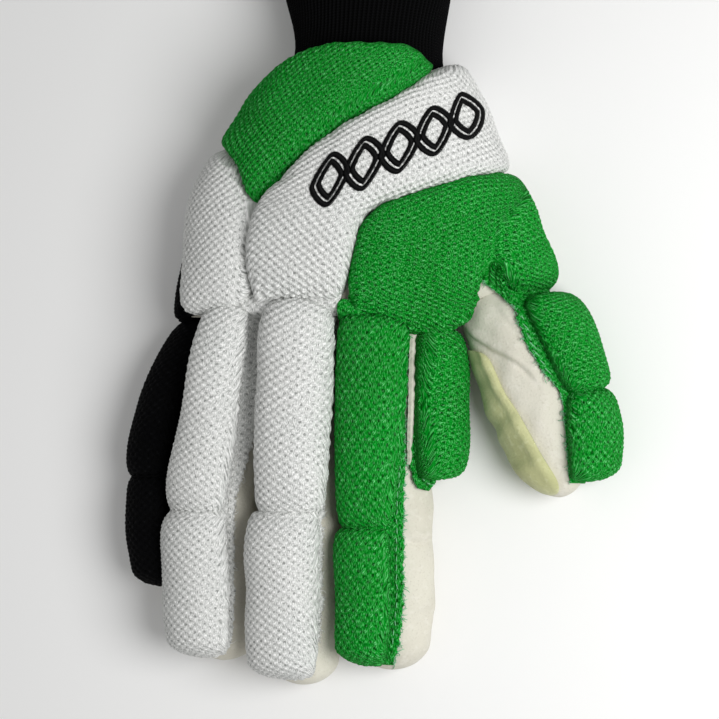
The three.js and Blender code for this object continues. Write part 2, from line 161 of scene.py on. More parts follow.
def sectionAt(tube, y):
    # each column follows a Hermite curve through the rows; the slope at a row is the harmonic mean
    # of the slopes on both sides, and zero where they turn
    rows = np.array(tube["rows"], float)
    ys = rows[:, 0]
    rise = np.diff(rows, axis=0) / np.diff(ys)[:, None]
    before, after = rise[:-1], rise[1:]
    same = before * after > 0
    inner = np.where(same, 2 * before * after / np.where(same, before + after, 1), 0)
    slopes = np.concatenate([rise[:1], inner, rise[-1:]])
    y = np.asarray(y, float)
    i = np.clip(np.searchsorted(-ys, -y, side="right") - 1, 0, len(ys) - 2)
    width = (ys[i + 1] - ys[i])[..., None]
    t = np.clip((y[..., None] - ys[i][..., None]) / width, 0, 1)
    return np.moveaxis(hermite(t, rows[i], slopes[i] * width, rows[i + 1], slopes[i + 1] * width), -1, 0)


def arcsOf(half, height, side):
    # arched back, round side and flat underside of half a section
    arch = 2 * np.arctan2(height - 2 * side, half - side)
    radius = side + (half - side) / np.sin(arch)
    return arch, radius, radius * arch, side * (np.pi - arch), half - side


def skinPoints(tube, s, y, lift, wall=0):
    # walks s along the arched back, the round side and the flat underside of the section at y,
    # steps out by lift, and closes the tip by the root of one minus the way in squared
    s, y = np.broadcast_arrays(np.asarray(s, float), np.asarray(y, float))
    _, x, base, left, right, height, side, roll = sectionAt(tube, y)
    arch, radius, back, roundArc, _ = arcsOf(np.where(s < 0, left, right), height, side)
    away = np.abs(s)
    onBack = away <= back
    turn = np.where(onBack, away / radius, np.minimum(arch + (away - back) / side, np.pi))
    inward = np.maximum(away - back - roundArc, 0)
    middle = np.where(onBack, 0, radius - side)
    out = np.where(onBack, radius, side) + lift
    across = middle * np.sin(arch) + out * np.sin(turn) - np.where(onBack, 0, inward)
    up = height / 2 - radius + middle * np.cos(arch) + out * np.cos(turn)
    if "tip" in tube:
        into = np.clip((tube["tip"] + tube["tipLength"] - y) / (tube["tipLength"] - wall), 0, 1)
        closing = np.sqrt(1 - into * into)
        across = across * closing
        up = tipRise * height + (up - tipRise * height) * closing
    across = across * np.where(s < 0, -1, 1)
    roll = np.radians(roll)
    return np.stack([
        x + across * np.cos(roll) + up * np.sin(roll),
        y,
        base + height / 2 - across * np.sin(roll) + up * np.cos(roll),
    ], axis=-1)


def onTube(tube, places):
    # points of places s, y, lift
    return skinPoints(tubes[tube], places[..., 0], places[..., 1], places[..., 2])


def spanned(a, b):
    # the area that two flat ways span, positive where b is to the left of a
    return a[..., 0] * b[..., 1] - a[..., 1] * b[..., 0]


def gridNormals(points):
    # the cross product of the ways along the rows and along the columns
    return unit(np.cross(np.gradient(points, axis=1), np.gradient(points, axis=0)))


def makePiece(name, points, faces, slot, uv=None, material=None):
    # one mesh from points in millimetres; uv is a place for each point, and the material is that of
    # the slot where no other is given
    mesh = bpy.data.meshes.new(name)
    mesh.from_pydata((np.asarray(points).reshape(-1, 3) * mm).tolist(), [], list(faces))
    if uv is not None:
        corner = np.empty(len(mesh.loops), np.int64)
        mesh.loops.foreach_get("vertex_index", corner)
        layer = mesh.uv_layers.new(name="pattern")
        layer.data.foreach_set("uv", np.asarray(uv, np.float32).reshape(-1, 2)[corner].ravel())
    mesh.polygons.foreach_set("use_smooth", np.ones(len(mesh.polygons), bool))
    mesh.materials.append(material or looks[slot])
    mesh.update()
    piece = bpy.data.objects.new(name, mesh)
    scene.collection.objects.link(piece)
    orient(piece)
    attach(piece, "root")
    return piece


def orient(piece):
    # turns the faces outwards where the volume comes out negative
    mesh = piece.data
    mesh.calc_loop_triangles()
    corners = np.empty(len(mesh.loop_triangles) * 3, np.int32)
    mesh.loop_triangles.foreach_get("vertices", corners)
    points = np.empty(len(mesh.vertices) * 3, np.float32)
    mesh.vertices.foreach_get("co", points)
    a, b, c = np.moveaxis(points.reshape(-1, 3)[corners.reshape(-1, 3)], 1, 0)
    if np.einsum("ij,ij->", a, np.cross(b, c)) < 0:
        mesh.flip_normals()


def quads(rows, columns, wrap=False, closed=False):
    # faces of a grid of points, row after row; wrap joins the last column to the first, and closed
    # the last row to the first
    row, column = np.indices((rows if closed else rows - 1, columns if wrap else columns - 1))
    here, after, beside = row * columns, (row + 1) % rows * columns, (column + 1) % columns
    return np.stack([here + column, here + beside, after + beside, after + column], axis=-1).reshape(-1, 4)


def rimOf(rows, columns):
    # the points round a grid, in order
    index = np.arange(rows * columns).reshape(rows, columns)
    return np.concatenate([index[0, :-1], index[:-1, -1], index[-1, :0:-1], index[:0:-1, 0]])


# Materials

def feed(tree, socket, value):
    # links the output of another node, or sets a plain value
    if isinstance(value, bpy.types.NodeSocket):
        tree.links.new(value, socket)
    else:
        socket.default_value = value


def node(tree, kind, inputs, **settings):
    # a new node with those inputs and settings; gives its outputs
    made = tree.nodes.new("ShaderNode" + kind)
    for key, value in settings.items():
        setattr(made, key, value)
    for key, value in inputs.items():
        feed(tree, made.inputs[key], value)
    return made.outputs


def mathNode(tree, operation, first, second=0.0):
    return node(tree, "Math", {0: first, 1: second}, operation=operation)[0]


def times(tree, first, second):
    return mathNode(tree, "MULTIPLY", first, second)


def mapRange(tree, value, low, high, to=(0.0, 1.0), kind="SMOOTHSTEP"):
    inputs = {"Value": value, "From Min": low, "From Max": high, "To Min": to[0], "To Max": to[1]}
    return node(tree, "MapRange", inputs, interpolation_type=kind)["Result"]


def mixColour(tree, factor, first, second):
    return node(tree, "Mix", {0: factor, 6: first, 7: second}, data_type="RGBA")[2]


def noise(tree, place, scale, detail):
    return node(tree, "TexNoise", {"Vector": place, "Scale": scale, "Detail": detail})["Fac"]


def chanceFor(tree, x, y):
    # a chance value for each pair of whole numbers
    cell = node(tree, "CombineXYZ", {"X": x, "Y": y})[0]
    return node(tree, "TexWhiteNoise", {"Vector": cell}, noise_dimensions="2D")["Value"]


def linear(red, green, blue):
    # a colour from its sRGB values of 0 to 255
    c = np.array([red, green, blue]) / 255
    c = np.where(c <= 0.04045, c / 12.92, ((c + 0.055) / 1.055) ** 2.4)
    return (*[float(x) for x in c], 1.0)


lattice = {
    "lean": 0.54,          # share of the rows of knots that slant down to the thumb side
    "relief": 0.28,        # height of a knot over the middle, mm
    "knotRise": (-0.2, 1.0),   # the wave where the height of a knot begins and is full, and of a pit
    "pitFall": (0.1, 1.0),
    "room": (0.35, 0.8),   # the length of a squeezed diagonal where the relief is gone and is full
    "stray": 0.16,         # how far the knots stray from their rows, mm
    "strayPitch": 4.5,
    "pit": (0.35, 0.9),    # the wave where a pit begins and where it is full, and so for a knot
    "knot": (0.2, 0.95),
    "pitDepth": (0.45, 1.0),
    "grain": (13.0, 3.2),  # threads to a cell across, and their breaks to a cell along
}


def latticeHeight(a, b):
    # a and b are in cells; lean * cos 2pi(a + b) + (1 - lean) * cos 2pi(a - b) is 1 in a pit and -1
    # on a knot
    lean = lattice["lean"]
    wave = lean * np.cos(2 * np.pi * (a + b)) + (1 - lean) * np.cos(2 * np.pi * (a - b))
    return lattice["relief"] * (smooth(*lattice["knotRise"], -wave) - smooth(*lattice["pitFall"], wave))


def meshClothGroup():
    # pits and knots of the mesh cloth from the pattern map, with a chance value for each knot and a
    # noise drawn out along the threads
    tree = bpy.data.node_groups.new("Mesh cloth", "ShaderNodeTree")
    tree.interface.new_socket(name="Pattern", in_out="INPUT", socket_type="NodeSocketVector")
    for label in ("Pit", "Knot", "Chance", "Dash", "Height", "Grain"):
        tree.interface.new_socket(name=label, in_out="OUTPUT", socket_type="NodeSocketFloat")
    pattern = tree.nodes.new("NodeGroupInput").outputs["Pattern"]
    out = tree.nodes.new("NodeGroupOutput").inputs
    axes = node(tree, "SeparateXYZ", {0: pattern})
    down = mathNode(tree, "ADD", axes["X"], axes["Y"])
    up = mathNode(tree, "SUBTRACT", axes["X"], axes["Y"])
    waves = [mathNode(tree, "COSINE", times(tree, way, 2 * np.pi)) for way in (up, down)]
    wave = node(tree, "Mix", {0: lattice["lean"], 2: waves[0], 3: waves[1]})[0]
    pit = mapRange(tree, wave, *lattice["pit"])
    knot = mapRange(tree, times(tree, wave, -1.0), *lattice["knot"])
    chance = chanceFor(tree, mathNode(tree, "FLOOR", down), mathNode(tree, "FLOOR", up))
    depth = chanceFor(tree, mathNode(tree, "ROUND", down), mathNode(tree, "ROUND", up))
    pit = times(tree, pit, mapRange(tree, depth, 0.0, 1.0, lattice["pitDepth"], "LINEAR"))
    strand = mathNode(tree, "SINE", times(tree, up, 8 * np.pi))
    dash = times(tree, knot, mapRange(tree, strand, -0.2, 0.9))
    across, along = lattice["grain"]
    grain = {"X": times(tree, axes["X"], across), "Y": times(tree, axes["Y"], along)}
    drawn = node(tree, "CombineXYZ", grain)[0]
    height = mathNode(tree, "ADD", mathNode(tree, "SUBTRACT", knot, pit), times(tree, dash, 0.25))
    found = {"Pit": pit, "Knot": knot, "Chance": chance, "Dash": dash, "Height": height}
    found["Grain"] = noise(tree, drawn, 1.0, 1.0)
    for label, socket in found.items():
        tree.links.new(socket, out[label])
    return tree


meshCloth = meshClothGroup()


def newMaterial(name, sheen=0.0, specular=0.5):
    # the material, its nodes and the sockets of its shader
    material = bpy.data.materials.new(name)
    material.use_nodes = True
    tree = material.node_tree
    shader = tree.nodes["Principled BSDF"].inputs
    shader["Sheen Weight"].default_value = sheen
    shader["Specular IOR Level"].default_value = specular
    return material, tree, shader


def finishLook(tree, shader, colour, roughness, height, depth, strength=1.0):
    # sets the colour, the roughness and a bump of that height; depth is its distance in mm
    bump = node(tree, "Bump", {"Height": height, "Distance": depth * mm, "Strength": strength})[0]
    for label, value in (("Base Color", colour), ("Roughness", roughness), ("Normal", bump)):
        feed(tree, shader[label], value)


def clothMaterial(name, look):
    # body colour, with painted shade in the pits, painted highlights on the knots and a painted glint on
    # some of them
    material, tree, shader = newMaterial(name, 0.0, look["specular"])
    pattern = node(tree, "UVMap", {}, uv_map="pattern")[0]
    cloth = node(tree, "Group", {"Pattern": pattern}, node_tree=meshCloth)
    chance, grain = cloth["Chance"], cloth["Grain"]
    soil = noise(tree, node(tree, "TexCoord", {})["Object"], 45.0, 4.0)
    body = mixColour(tree, mapRange(tree, soil, 0.35, 0.7), linear(*look["body"]), linear(*look["shade"]))
    pit, glint = linear(*look["pit"]), linear(*look["glint"])
    # painted shade: the pit colour darkens the holes of the mesh cloth
    body = mixColour(tree, times(tree, cloth["Pit"], look["pitShadeShare"]), body, pit)
    # painted highlight: the raised knots are lightened towards the knot colour, some more than others
    lit = times(tree, cloth["Knot"], mapRange(tree, chance, 0.0, 1.0, (0.3, 1.0), "LINEAR"))
    body = mixColour(tree, times(tree, lit, look["knotHighlightShare"]), body, linear(*look["knot"]))
    bright = times(tree, cloth["Dash"], mapRange(tree, chance, look["glintFrom"], 1.0))
    body = mixColour(tree, times(tree, bright, look["glintShare"]), body, glint)
    # random dark specks of the grain take the pit colour; painted glints follow where the grain is high
    body = mixColour(tree, mapRange(tree, grain, 0.34, 0.5, (look["dark"], 0.0)), body, pit)
    body = mixColour(tree, mapRange(tree, grain, 0.52, 0.66, (0.0, look["sparkle"])), body, glint)
    rough = mapRange(tree, bright, 0.0, 1.0, (look["roughness"], look["knotRoughness"]), "LINEAR")
    height = mathNode(tree, "ADD", cloth["Height"], times(tree, grain, 1.2))
    finishLook(tree, shader, body, rough, height, look["bump"])
    return material


# colours are in sRGB, shares are parts of one, and bump is in mm; knot and glint are the colours of painted
# highlights, and pit that of painted shade in the holes
clothColumns = ["body", "shade", "pit", "knot", "glint", "pitShadeShare", "knotHighlightShare", "glintShare", "glintFrom",
                "dark", "sparkle", "roughness", "knotRoughness", "specular", "bump"]
clothLooks = {
    "green_mesh": [
        (0, 138, 32), (0, 129, 26), (0, 62, 5), (8, 158, 48), (130, 235, 150), 0.95, 0.8, 0.85, 0.3,
        0.6, 0.34, 0.7, 0.45, 0.04, 0.25,
    ],
    "white_mesh": [
        (214, 215, 212), (207, 209, 206), (118, 121, 118), (250, 250, 248), (255, 255, 253), 0.75, 0.9,
        1.0, 0.0, 0.28, 0.8, 0.7, 0.5, 0.3, 0.2,
    ],
    "black_mesh": [
        (4, 4, 5), (2, 2, 3), (0, 0, 0), (8, 8, 9), (26, 28, 30), 0.8, 0.6, 0.6, 0.6,
        0.5, 0.1, 0.8, 0.6, 0.05, 0.2,
    ],
}
cloths = {name: clothMaterial(name, dict(zip(clothColumns, row))) for name, row in clothLooks.items()}


suedeNoise = {"nap": (1400.0, 3.0), "specks": (420.0, 2.0), "stains": (38.0, 3.0)}   # scale, detail


def suedeMaterial(name, body, stain, speck, fleck, sheen, bump):
    # suede: a fine nap, pale and dark specks, and soft stains
    material, tree, shader = newMaterial(name, sheen, 0.25)
    place = node(tree, "TexCoord", {})["Object"]
    nap, specks, stains = [noise(tree, place, *values) for values in suedeNoise.values()]
    colour = mixColour(tree, mapRange(tree, stains, 0.35, 0.72), linear(*body), linear(*stain))
    colour = mixColour(tree, mapRange(tree, specks, 0.52, 0.68, (0.0, 0.6)), colour, linear(*speck))
    colour = mixColour(tree, mapRange(tree, nap, 0.55, 0.75, (0.0, 0.5)), colour, linear(*fleck))
    height = mathNode(tree, "ADD", nap, times(tree, specks, 0.8))
    finishLook(tree, shader, colour, mapRange(tree, specks, 0.3, 0.7, (0.8, 0.95)), height, bump)
    return material


# sRGB colours of the body, stains, specks and flecks, then sheen and bump
suedeLooks = {
    "suede_leather": [(211, 208, 194), (204, 200, 186), (216, 213, 201), (182, 177, 162), 0.1, 0.18],
    "thumb_patch": [(199, 200, 153), (182, 183, 133), (205, 206, 162), (168, 170, 120), 0.2, 0.2],
}
suedes = {name: suedeMaterial(name, *row) for name, row in suedeLooks.items()}


def knitMaterial():
    # black rib knit: the ribs are in the mesh, and the map gives the V shaped loops on them; the colour
    # goes to black between the ribs as painted shade
    material, tree, shader = newMaterial("cuff_knit", 0.0, 0.06)
    axes = node(tree, "SeparateXYZ", {0: node(tree, "UVMap", {}, uv_map="pattern")[0]})
    rib = mathNode(tree, "COSINE", times(tree, axes["X"], 2 * np.pi / cuff["rib"]))
    tilt = times(tree, mathNode(tree, "ABSOLUTE", rib), cuff["loopTilt"])
    loop = mathNode(tree, "SINE", mathNode(tree, "ADD", times(tree, axes["Y"], cuff["loops"]), tilt))
    # painted shade: black in the valleys between the ribs, dark grey on their tops
    body = mixColour(tree, mapRange(tree, rib, -0.8, 0.6), linear(0, 0, 0), linear(6, 6, 7))
    body = mixColour(tree, mapRange(tree, loop, 0.2, 1.0, (0.0, 0.35)), body, linear(14, 14, 16))
    finishLook(tree, shader, body, 0.85, loop, 0.12)
    return material


def threadMaterial(name, colour, sheen=0.2, specular=0.5, roughness=0.6):
    # twisted thread: fine noise in the colour and the surface
    material, tree, shader = newMaterial(name, sheen, specular)
    twist = noise(tree, node(tree, "TexCoord", {})["Object"], 1800.0, 1.0)
    dark = tuple(0.6 * c for c in colour[:3]) + (1.0,)
    body = mixColour(tree, mapRange(tree, twist, 0.35, 0.65), dark, colour)
    finishLook(tree, shader, body, roughness, twist, 0.1, 0.6)
    return material


threads = {
    "white": threadMaterial("white_thread", linear(236, 236, 232)),
    "green": threadMaterial("green_thread", linear(24, 140, 58)),
    "pale_green": threadMaterial("pale_green_thread", linear(120, 200, 145)),
    "black": threadMaterial("black_thread", linear(3, 3, 4), 0.0, 0.12, 0.5),
}

cuff = {
    "start": 48,
    "end": 114,
    "wall": 3,
    "rib": 1.5,        # mm from rib to rib
    "ribHeight": 0.28,
    "samples": 7,      # points across a rib
    "ribPower": 0.7,   # below 1 the ribs are fuller than a cosine
    "uneven": 0.25,    # soft hollows and humps, and their size
    "unevenSize": 16,
    "rows": 25,
    "around": {"back": 60, "round": 30, "flat": 20},
    "loops": 7.0,      # steepness of the loops along a rib, and how far they lean
    "loopTilt": 1.6,
    "hem": 1.5,        # radius of the folded edge
}
looks = cloths | suedes | {"cuff_knit": knitMaterial()}
print("materials made")

# Pads

pillow = {
    "acrossPower": 2.8,
    "alongPower": 6,
    "corner": 0.5,
    "cornerPower": 9,
    "acrossExtra": 1.2,    # more points for the rise, in crowns
    "alongExtra": 1.6,
    "lift": 0.6,
    "rim": 1,
    "step": 0.45,      # mm between points of the cloth
    "bulge": 0.8,      # how far the sides swell out past the seam
    "bulgePower": 0.8,
    "bulgeEdge": 5,    # the higher, the closer to the seam the swelling is
    "uneven": 0.35,    # soft hollows and humps, their size, and where on the crown they begin
    "unevenSize": 22,
    "unevenRise": (0, 0.35),
    "reliefRise": (0, 0.2),    # where on the crown the relief of the cloth begins and is full
    "pucker": 0.45,    # gathers along the seam
    "puckerPitch": 6.5,
    "puckerFade": (0.3, 0.9),  # share of the crown where the gathers begin to fade and end
    "puckerRadius": 40,    # turns the angle round the pad into mm
    "puckerStray": 3,      # how far the gathers stray, and the size of that
    "puckerStraySize": 30,
    "simStep": 2.4,
    "simScale": 10,
    "frames": 20,
    "pressure": 4,
    "cap": 1.6,        # most that the cloth may move, mm
    "moveBlur": 6,     # rounds of blurring its moves
    "under": [(1, 0.1), (0.97, 0.05), (0.8, 0.05), (0.5, 0.05), (0.2, 0.05)],  # rings: share and lift
}

outlines = {
    "wrist_pad": {
        "upper": [[-44.4, 34], [-39.4, 38], [-32.5, 42.3], [-23, 47], [-9, 52], [9, 52.6], [19, 51.4],
                  [24, 48.6], [31, 47.8]],
        "right": [[-20.6, 1.4], [-14.2, 11], [-7.4, 18.3], [3.4, 27.2], [16.6, 36.8], [26.4, 45.4],
                  [31, 47.8]],
        "lower": [[-47, 28.6], [-39.8, 24.8], [-32.6, 18.4], [-26.2, 10], [-20.6, 1.4]],
        "left": [[-47, 28.6], [-46, 31.1], [-44.4, 34]],
    },
    "back_band_pad": {
        "upper": [[-17.4, -30], [-20, -11.5], [-19.3, 2], [-13.8, 10.4], [-7.2, 18], [3.4, 26.8],
                  [16.8, 36.6], [28.4, 47.3], [37.4, 50.4], [45.2, 51.8]],
        "right": [[63, 16], [55.4, 35], [45.2, 51.8]],
        "lower": [[13.6, -30.2], [13.7, -17], [14, -6.6], [18, 0.8], [30, 6.3], [44.4, 11.3], [54, 14.2],
                  [63, 16]],
        "left": [[13.6, -30.2], [5, -28.6], [-8, -28.2], [-17.4, -30]],
    },
    "ring_knuckle_pad": {
        "upper": [[-55.5, 22], [-53.6, 25.5], [-50, 28]],
        "right": [[-18, -30.2], [-20.7, -11.5], [-21.6, 0.6], [-27.4, 9], [-34.4, 17.6], [-42, 24.2],
                  [-50, 28]],
        "lower": [[-43.5, -28.5], [-36.4, -30.8], [-26.4, -29.8], [-18, -30.2]],
        "left": [[-43.5, -28.5], [-46.5, -15], [-50, 0], [-53, 11.5], [-55.5, 22]],
    },
    "little_knuckle_pad": {
        "upper": [[-63, 12], [-60, 15.5], [-55, 15.5]],
        "right": [[-44.6, -30.6], [-47.2, -15], [-50.7, 0], [-55, 15.5]],
        "lower": [[-57, -30.6], [-51, -31], [-44.6, -30.6]],
        "left": [[-57, -30.6], [-61, -12], [-63, 12]],
    },
    "index_thumb_pad": {
        "upper": [[14.4, -32], [14.5, -17.5], [14.8, -7.4], [18.8, -0.4], [30.4, 5.2], [44.8, 10.2],
                  [52, 12.6], [57, 12.2], [62, 3.6], [71.5, -10], [83, -26]],
        "right": [[64.5, -25], [73.5, -26.6], [83, -26]],
        "lower": [[49.9, -37.2], [51.3, -34.6], [52, -31.2], [54.6, -28.6], [55.4, -24.5], [56.4, -18.8],
                  [58.6, -17.4], [61.5, -19.6], [64.5, -25]],
        "left": [[50, -37.2], [43.8, -38.2], [34.9, -37.4], [25, -34.6], [14.4, -32]],
    },
}

# pitch is the distance of two pits in a row and row that of the rows, in mm; turn is the slant of the
# rows and skew how far the lines across them lean to the thumb side, in degrees
padColumns = ["tube", "cloth", "crown", "pitch", "row", "turn", "skew"]
padRows = {
    "wrist_pad": ["hand", "green_mesh", 10, 2.6, 1.5, 2, 20],
    "back_band_pad": ["hand", "white_mesh", 11, 3.55, 1.27, -4, -4],
    "ring_knuckle_pad": ["hand", "white_mesh", 10, 3.3, 1.32, -4, -4],
    "little_knuckle_pad": ["hand", "black_mesh", 5, 3, 1.3, 0, 0],
    "index_thumb_pad": ["hand", "green_mesh", 11, 4.1, 0.98, 6, -3],
}

fingerCloths = {"index": "green_mesh", "middle": "white_mesh", "ring": "white_mesh", "little": "black_mesh",
                "thumb": "green_mesh"}

# near left, near right, near y, near slant, rise of the arc of the near end, far left, far right,
# far y, far slant, crown, pitch, row, turn, skew
fingerPads = {
    "index_finger_pad": [-10.4, 7.5, -33.5, -3.5, 0.6, -10.8, 3, -101.5, 0, 11, 2.95, 1.9, -4, -5],
    "index_tip_pad": [-11.8, 2, -102.8, 0, 0, -11.7, 0.4, -146.4, 0, 11, 3.2, 1.78, 3, 6],
    "index_side_pad": [9.5, 24.5, -38, -0.5, 0.4, 9.5, 24.5, -86.5, 2, 12, 5, 1.08, 1, 11],
    "middle_finger_pad": [-7.4, 10, -30.7, -1.4, 2.6, -8.4, 8.5, -97, 0.5, 11.5, 3.8, 1.32, -2, 0],
    "middle_tip_pad": [-10.6, 7.5, -98.3, 0.5, 0, -11, 6, -151, 0, 11.5, 3.35, 1.28, 8, 8],
    "ring_finger_pad": [-5.4, 5.9, -31.7, 0, 1.8, -11.4, 6, -96.2, 0, 10.5, 3.75, 1.32, -6, -4],
    "ring_tip_pad": [-12.5, 5.8, -97.5, 0, 0, -11.5, 5.8, -144.3, 0, 10.5, 3.45, 1.3, 4, 12],
    "little_finger_pad": [-9, 3, -34, 0, 1, -10.8, 6, -84.5, 0, 7, 3.2, 1.4, 0, 0],
    "little_tip_pad": [-10.8, 5.5, -85.8, 0, 0, -7, 5, -120, -2, 6, 3.2, 1.4, 0, 0],
    "thumb_pad": [7, 28, -30, 5, 0.6, 11, 26.8, -58.6, 3.2, 9.5, 4.5, 0.96, 4, 28],
    "thumb_tip_pad": [11, 26.8, -60, 3.2, 0, 5, 22.2, -87, 2, 9.5, 2.95, 1.52, 4, 24],
}
for name, row in fingerPads.items():
    nearLeft, nearRight, nearY, nearSlant, arc, farLeft, farRight, farY, farSlant = row[:9]
    middle = [(nearLeft + nearRight) / 2, nearY + nearSlant / 2 + arc]
    near = [[nearLeft, nearY], middle, [nearRight, nearY + nearSlant]]
    far = [[farLeft, farY], [farRight, farY + farSlant]]
    outlines[name] = {"upper": near, "lower": far, "left": [far[0], near[0]], "right": [far[1], near[2]]}
    finger = name.split("_")[0]
    padRows[name] = [finger, fingerCloths[finger]] + row[9:]
outlines["ring_finger_pad"]["left"].insert(1, [-7.2, -64.6])
pads = {name: dict(zip(padColumns, row), outline=outlines[name]) for name, row in padRows.items()}


def sideCurve(places):
    # the curve of a side, as its lengths and points for sampling by length
    points = curveThrough(places, 60)
    return walkAlong(points), points


def onCurve(curve, t):
    # t runs from 0 to 1 by length
    lengths, points = curve
    return placesAt(np.clip(t, 0, 1) * lengths[-1], lengths, points)


def blendSides(sides, across, along):
    # the sides are blended so that all four are met exactly: rows and columns, less the corners
    curves = {name: sideCurve(places) for name, places in sides.items()}
    a, b = across[..., None], along[..., None]
    one, none = np.ones_like(across), np.zeros_like(across)
    rows = onCurve(curves["lower"], across) * (1 - b) + onCurve(curves["upper"], across) * b
    columns = onCurve(curves["left"], along) * (1 - a) + onCurve(curves["right"], along) * a
    low, high = [
        onCurve(curves[end], none) * (1 - a) + onCurve(curves[end], one) * a for end in ("lower", "upper")
    ]
    return rows + columns - low * (1 - b) - high * b


def spread(half, crown, power, count):
    # places from -1 to 1 and their rise, spaced evenly along the arc of a superellipse
    turn = np.linspace(0, np.pi / 2, 4001)
    out = np.sin(turn) ** (2 / power)
    rise = np.cos(turn) ** (2 / power)
    length = walkAlong(np.stack([half * out, crown * rise], axis=-1))
    even = np.linspace(-1, 1, count)
    at = np.abs(even) * length[-1]
    return np.sign(even) * np.interp(at, length, out), np.interp(at, length, rise)


def padShape(pad, step):
    # a grid over the outline, raised by crown * dome(across) * dome(along), with sides that swell
    # outwards by bulge * sin(pi dome^power)
    lengths = {side: sideCurve(places)[0][-1] for side, places in pad["outline"].items()}
    width, length = (lengths["lower"] + lengths["upper"]) / 2, (lengths["left"] + lengths["right"]) / 2
    crown = pad["crown"]
    columns = int((width + pillow["acrossExtra"] * crown) / step) + 1
    rows = int((length + pillow["alongExtra"] * crown) / step) + 1
    u, riseU = spread(width / 2, crown, pillow["acrossPower"], columns)
    v, riseV = spread(length / 2, crown, pillow["alongPower"], rows)
    u, v = np.meshgrid(u, v)
    dome = riseU[None, :] * riseV[:, None]
    power, corner = pillow["cornerPower"], pillow["corner"]
    drawnU = u * (1 - corner * np.abs(v) ** power) ** (1 / power)
    drawnV = v * (1 - corner * np.abs(u) ** power) ** (1 / power)
    seam = blendSides(pad["outline"], (drawnU + 1) / 2, (drawnV + 1) / 2)
    alongU, alongV = unit(np.gradient(seam, axis=1)), unit(np.gradient(seam, axis=0))
    swell = pillow["bulge"] * np.sin(np.pi * dome ** pillow["bulgePower"])[..., None]
    edge = pillow["bulgeEdge"]
    plan = seam + swell * (alongU * (u**edge)[..., None] + alongV * (v**edge)[..., None])
    lift = pillow["lift"] + pillow["rim"] + crown * dome
    points = skinPoints(tubes[pad["tube"]], plan[..., 0], plan[..., 1], lift)
    return {"points": points, "plan": plan, "seam": seam, "dome": dome, "u": u, "v": v}


def closePad(pad, shape, points):
    # the rim goes down to the leather and on under the pad in shrinking rings, to a last flat face
    rows, columns = shape["dome"].shape
    rim = rimOf(rows, columns)
    seam = shape["seam"].reshape(-1, 2)[rim]
    middle = seam.mean(axis=0)
    under = []
    for share, lift in pillow["under"]:
        place = middle + (seam - middle) * share
        under.append(skinPoints(tubes[pad["tube"]], place[:, 0], place[:, 1], lift))
    rings = rows * columns + np.arange(len(under) * len(rim)).reshape(len(under), -1)
    loops = np.concatenate([rim[None], rings])
    a, b = loops[:-1], loops[1:]
    band = np.stack([a, b, np.roll(b, -1, 1), np.roll(a, -1, 1)], axis=-1).reshape(-1, 4)
    faces = quads(rows, columns).tolist() + band.tolist() + [loops[-1][::-1].tolist()]
    return rim, faces, np.concatenate([points.reshape(-1, 3), *under])


def blur(grid, rounds):
    # each point moves to the mean of itself and its neighbours along both ways
    for _ in range(rounds):
        for axis in (0, 1):
            padded = np.concatenate([grid.take([0], axis), grid, grid.take([-1], axis)], axis)
            low = padded.take(range(0, grid.shape[axis]), axis)
            high = padded.take(range(2, grid.shape[axis] + 2), axis)
            grid = 0.5 * grid + 0.25 * (low + high)
    return grid


def resample(grid, rows, columns):
    # bilinear, over the same places
    for axis, count in ((0, rows), (1, columns)):
        at = np.linspace(0, grid.shape[axis] - 1, count)
        low = np.minimum(at.astype(int), grid.shape[axis] - 2)
        share = (at - low).reshape((-1, 1, 1) if axis == 0 else (1, -1, 1))
        grid = grid.take(low, axis) * (1 - share) + grid.take(low + 1, axis) * share
    return grid


def swellPads():
    # all pads are filled with air together: coarse covers, pinned at the seam and below, under
    # pressure and without gravity; gives how far each point moved, in mm
    scale = pillow["simScale"]
    covers = {}
    for name, pad in pads.items():
        shape = padShape(pad, pillow["simStep"])
        rim, faces, points = closePad(pad, shape, shape["points"])
        cover = bpy.data.meshes.new("cover")
        cover.from_pydata((points * mm * scale).tolist(), [], faces)
        piece = bpy.data.objects.new("cover", cover)
        scene.collection.objects.link(piece)
        pinned = piece.vertex_groups.new(name="pinned")
        pinned.add(rim.tolist() + list(range(shape["dome"].size, len(points))), 1.0, "REPLACE")
        cloth = piece.modifiers.new("cloth", "CLOTH")
        cloth.settings.use_pressure = True
        cloth.settings.uniform_pressure_force = pillow["pressure"]
        cloth.settings.vertex_group_mass = "pinned"
        cloth.settings.effector_weights.gravity = 0
        cloth.collision_settings.use_collision = False
        cloth.point_cache.frame_start = 1
        cloth.point_cache.frame_end = pillow["frames"]
        covers[name] = (piece, shape, points)
    for number in range(pillow["frames"]):
        scene.frame_set(number + 1)
    graph = bpy.context.evaluated_depsgraph_get()
    moves = {}
    for name, (piece, shape, points) in covers.items():
        found = np.empty(len(points) * 3, np.float32)
        piece.evaluated_get(graph).to_mesh().vertices.foreach_get("co", found)
        move = (found.reshape(-1, 3) / (mm * scale) - points)[:shape["dome"].size]
        far = np.linalg.norm(move, axis=1, keepdims=True)
        move *= np.minimum(1, pillow["cap"] / np.maximum(far, 1e-6))
        moves[name] = move.reshape(shape["points"].shape)
        print("  swelled", name, "by up to", round(float(far.max()), 2), "mm")
        bpy.data.meshes.remove(piece.data)
    scene.frame_set(1)
    return moves


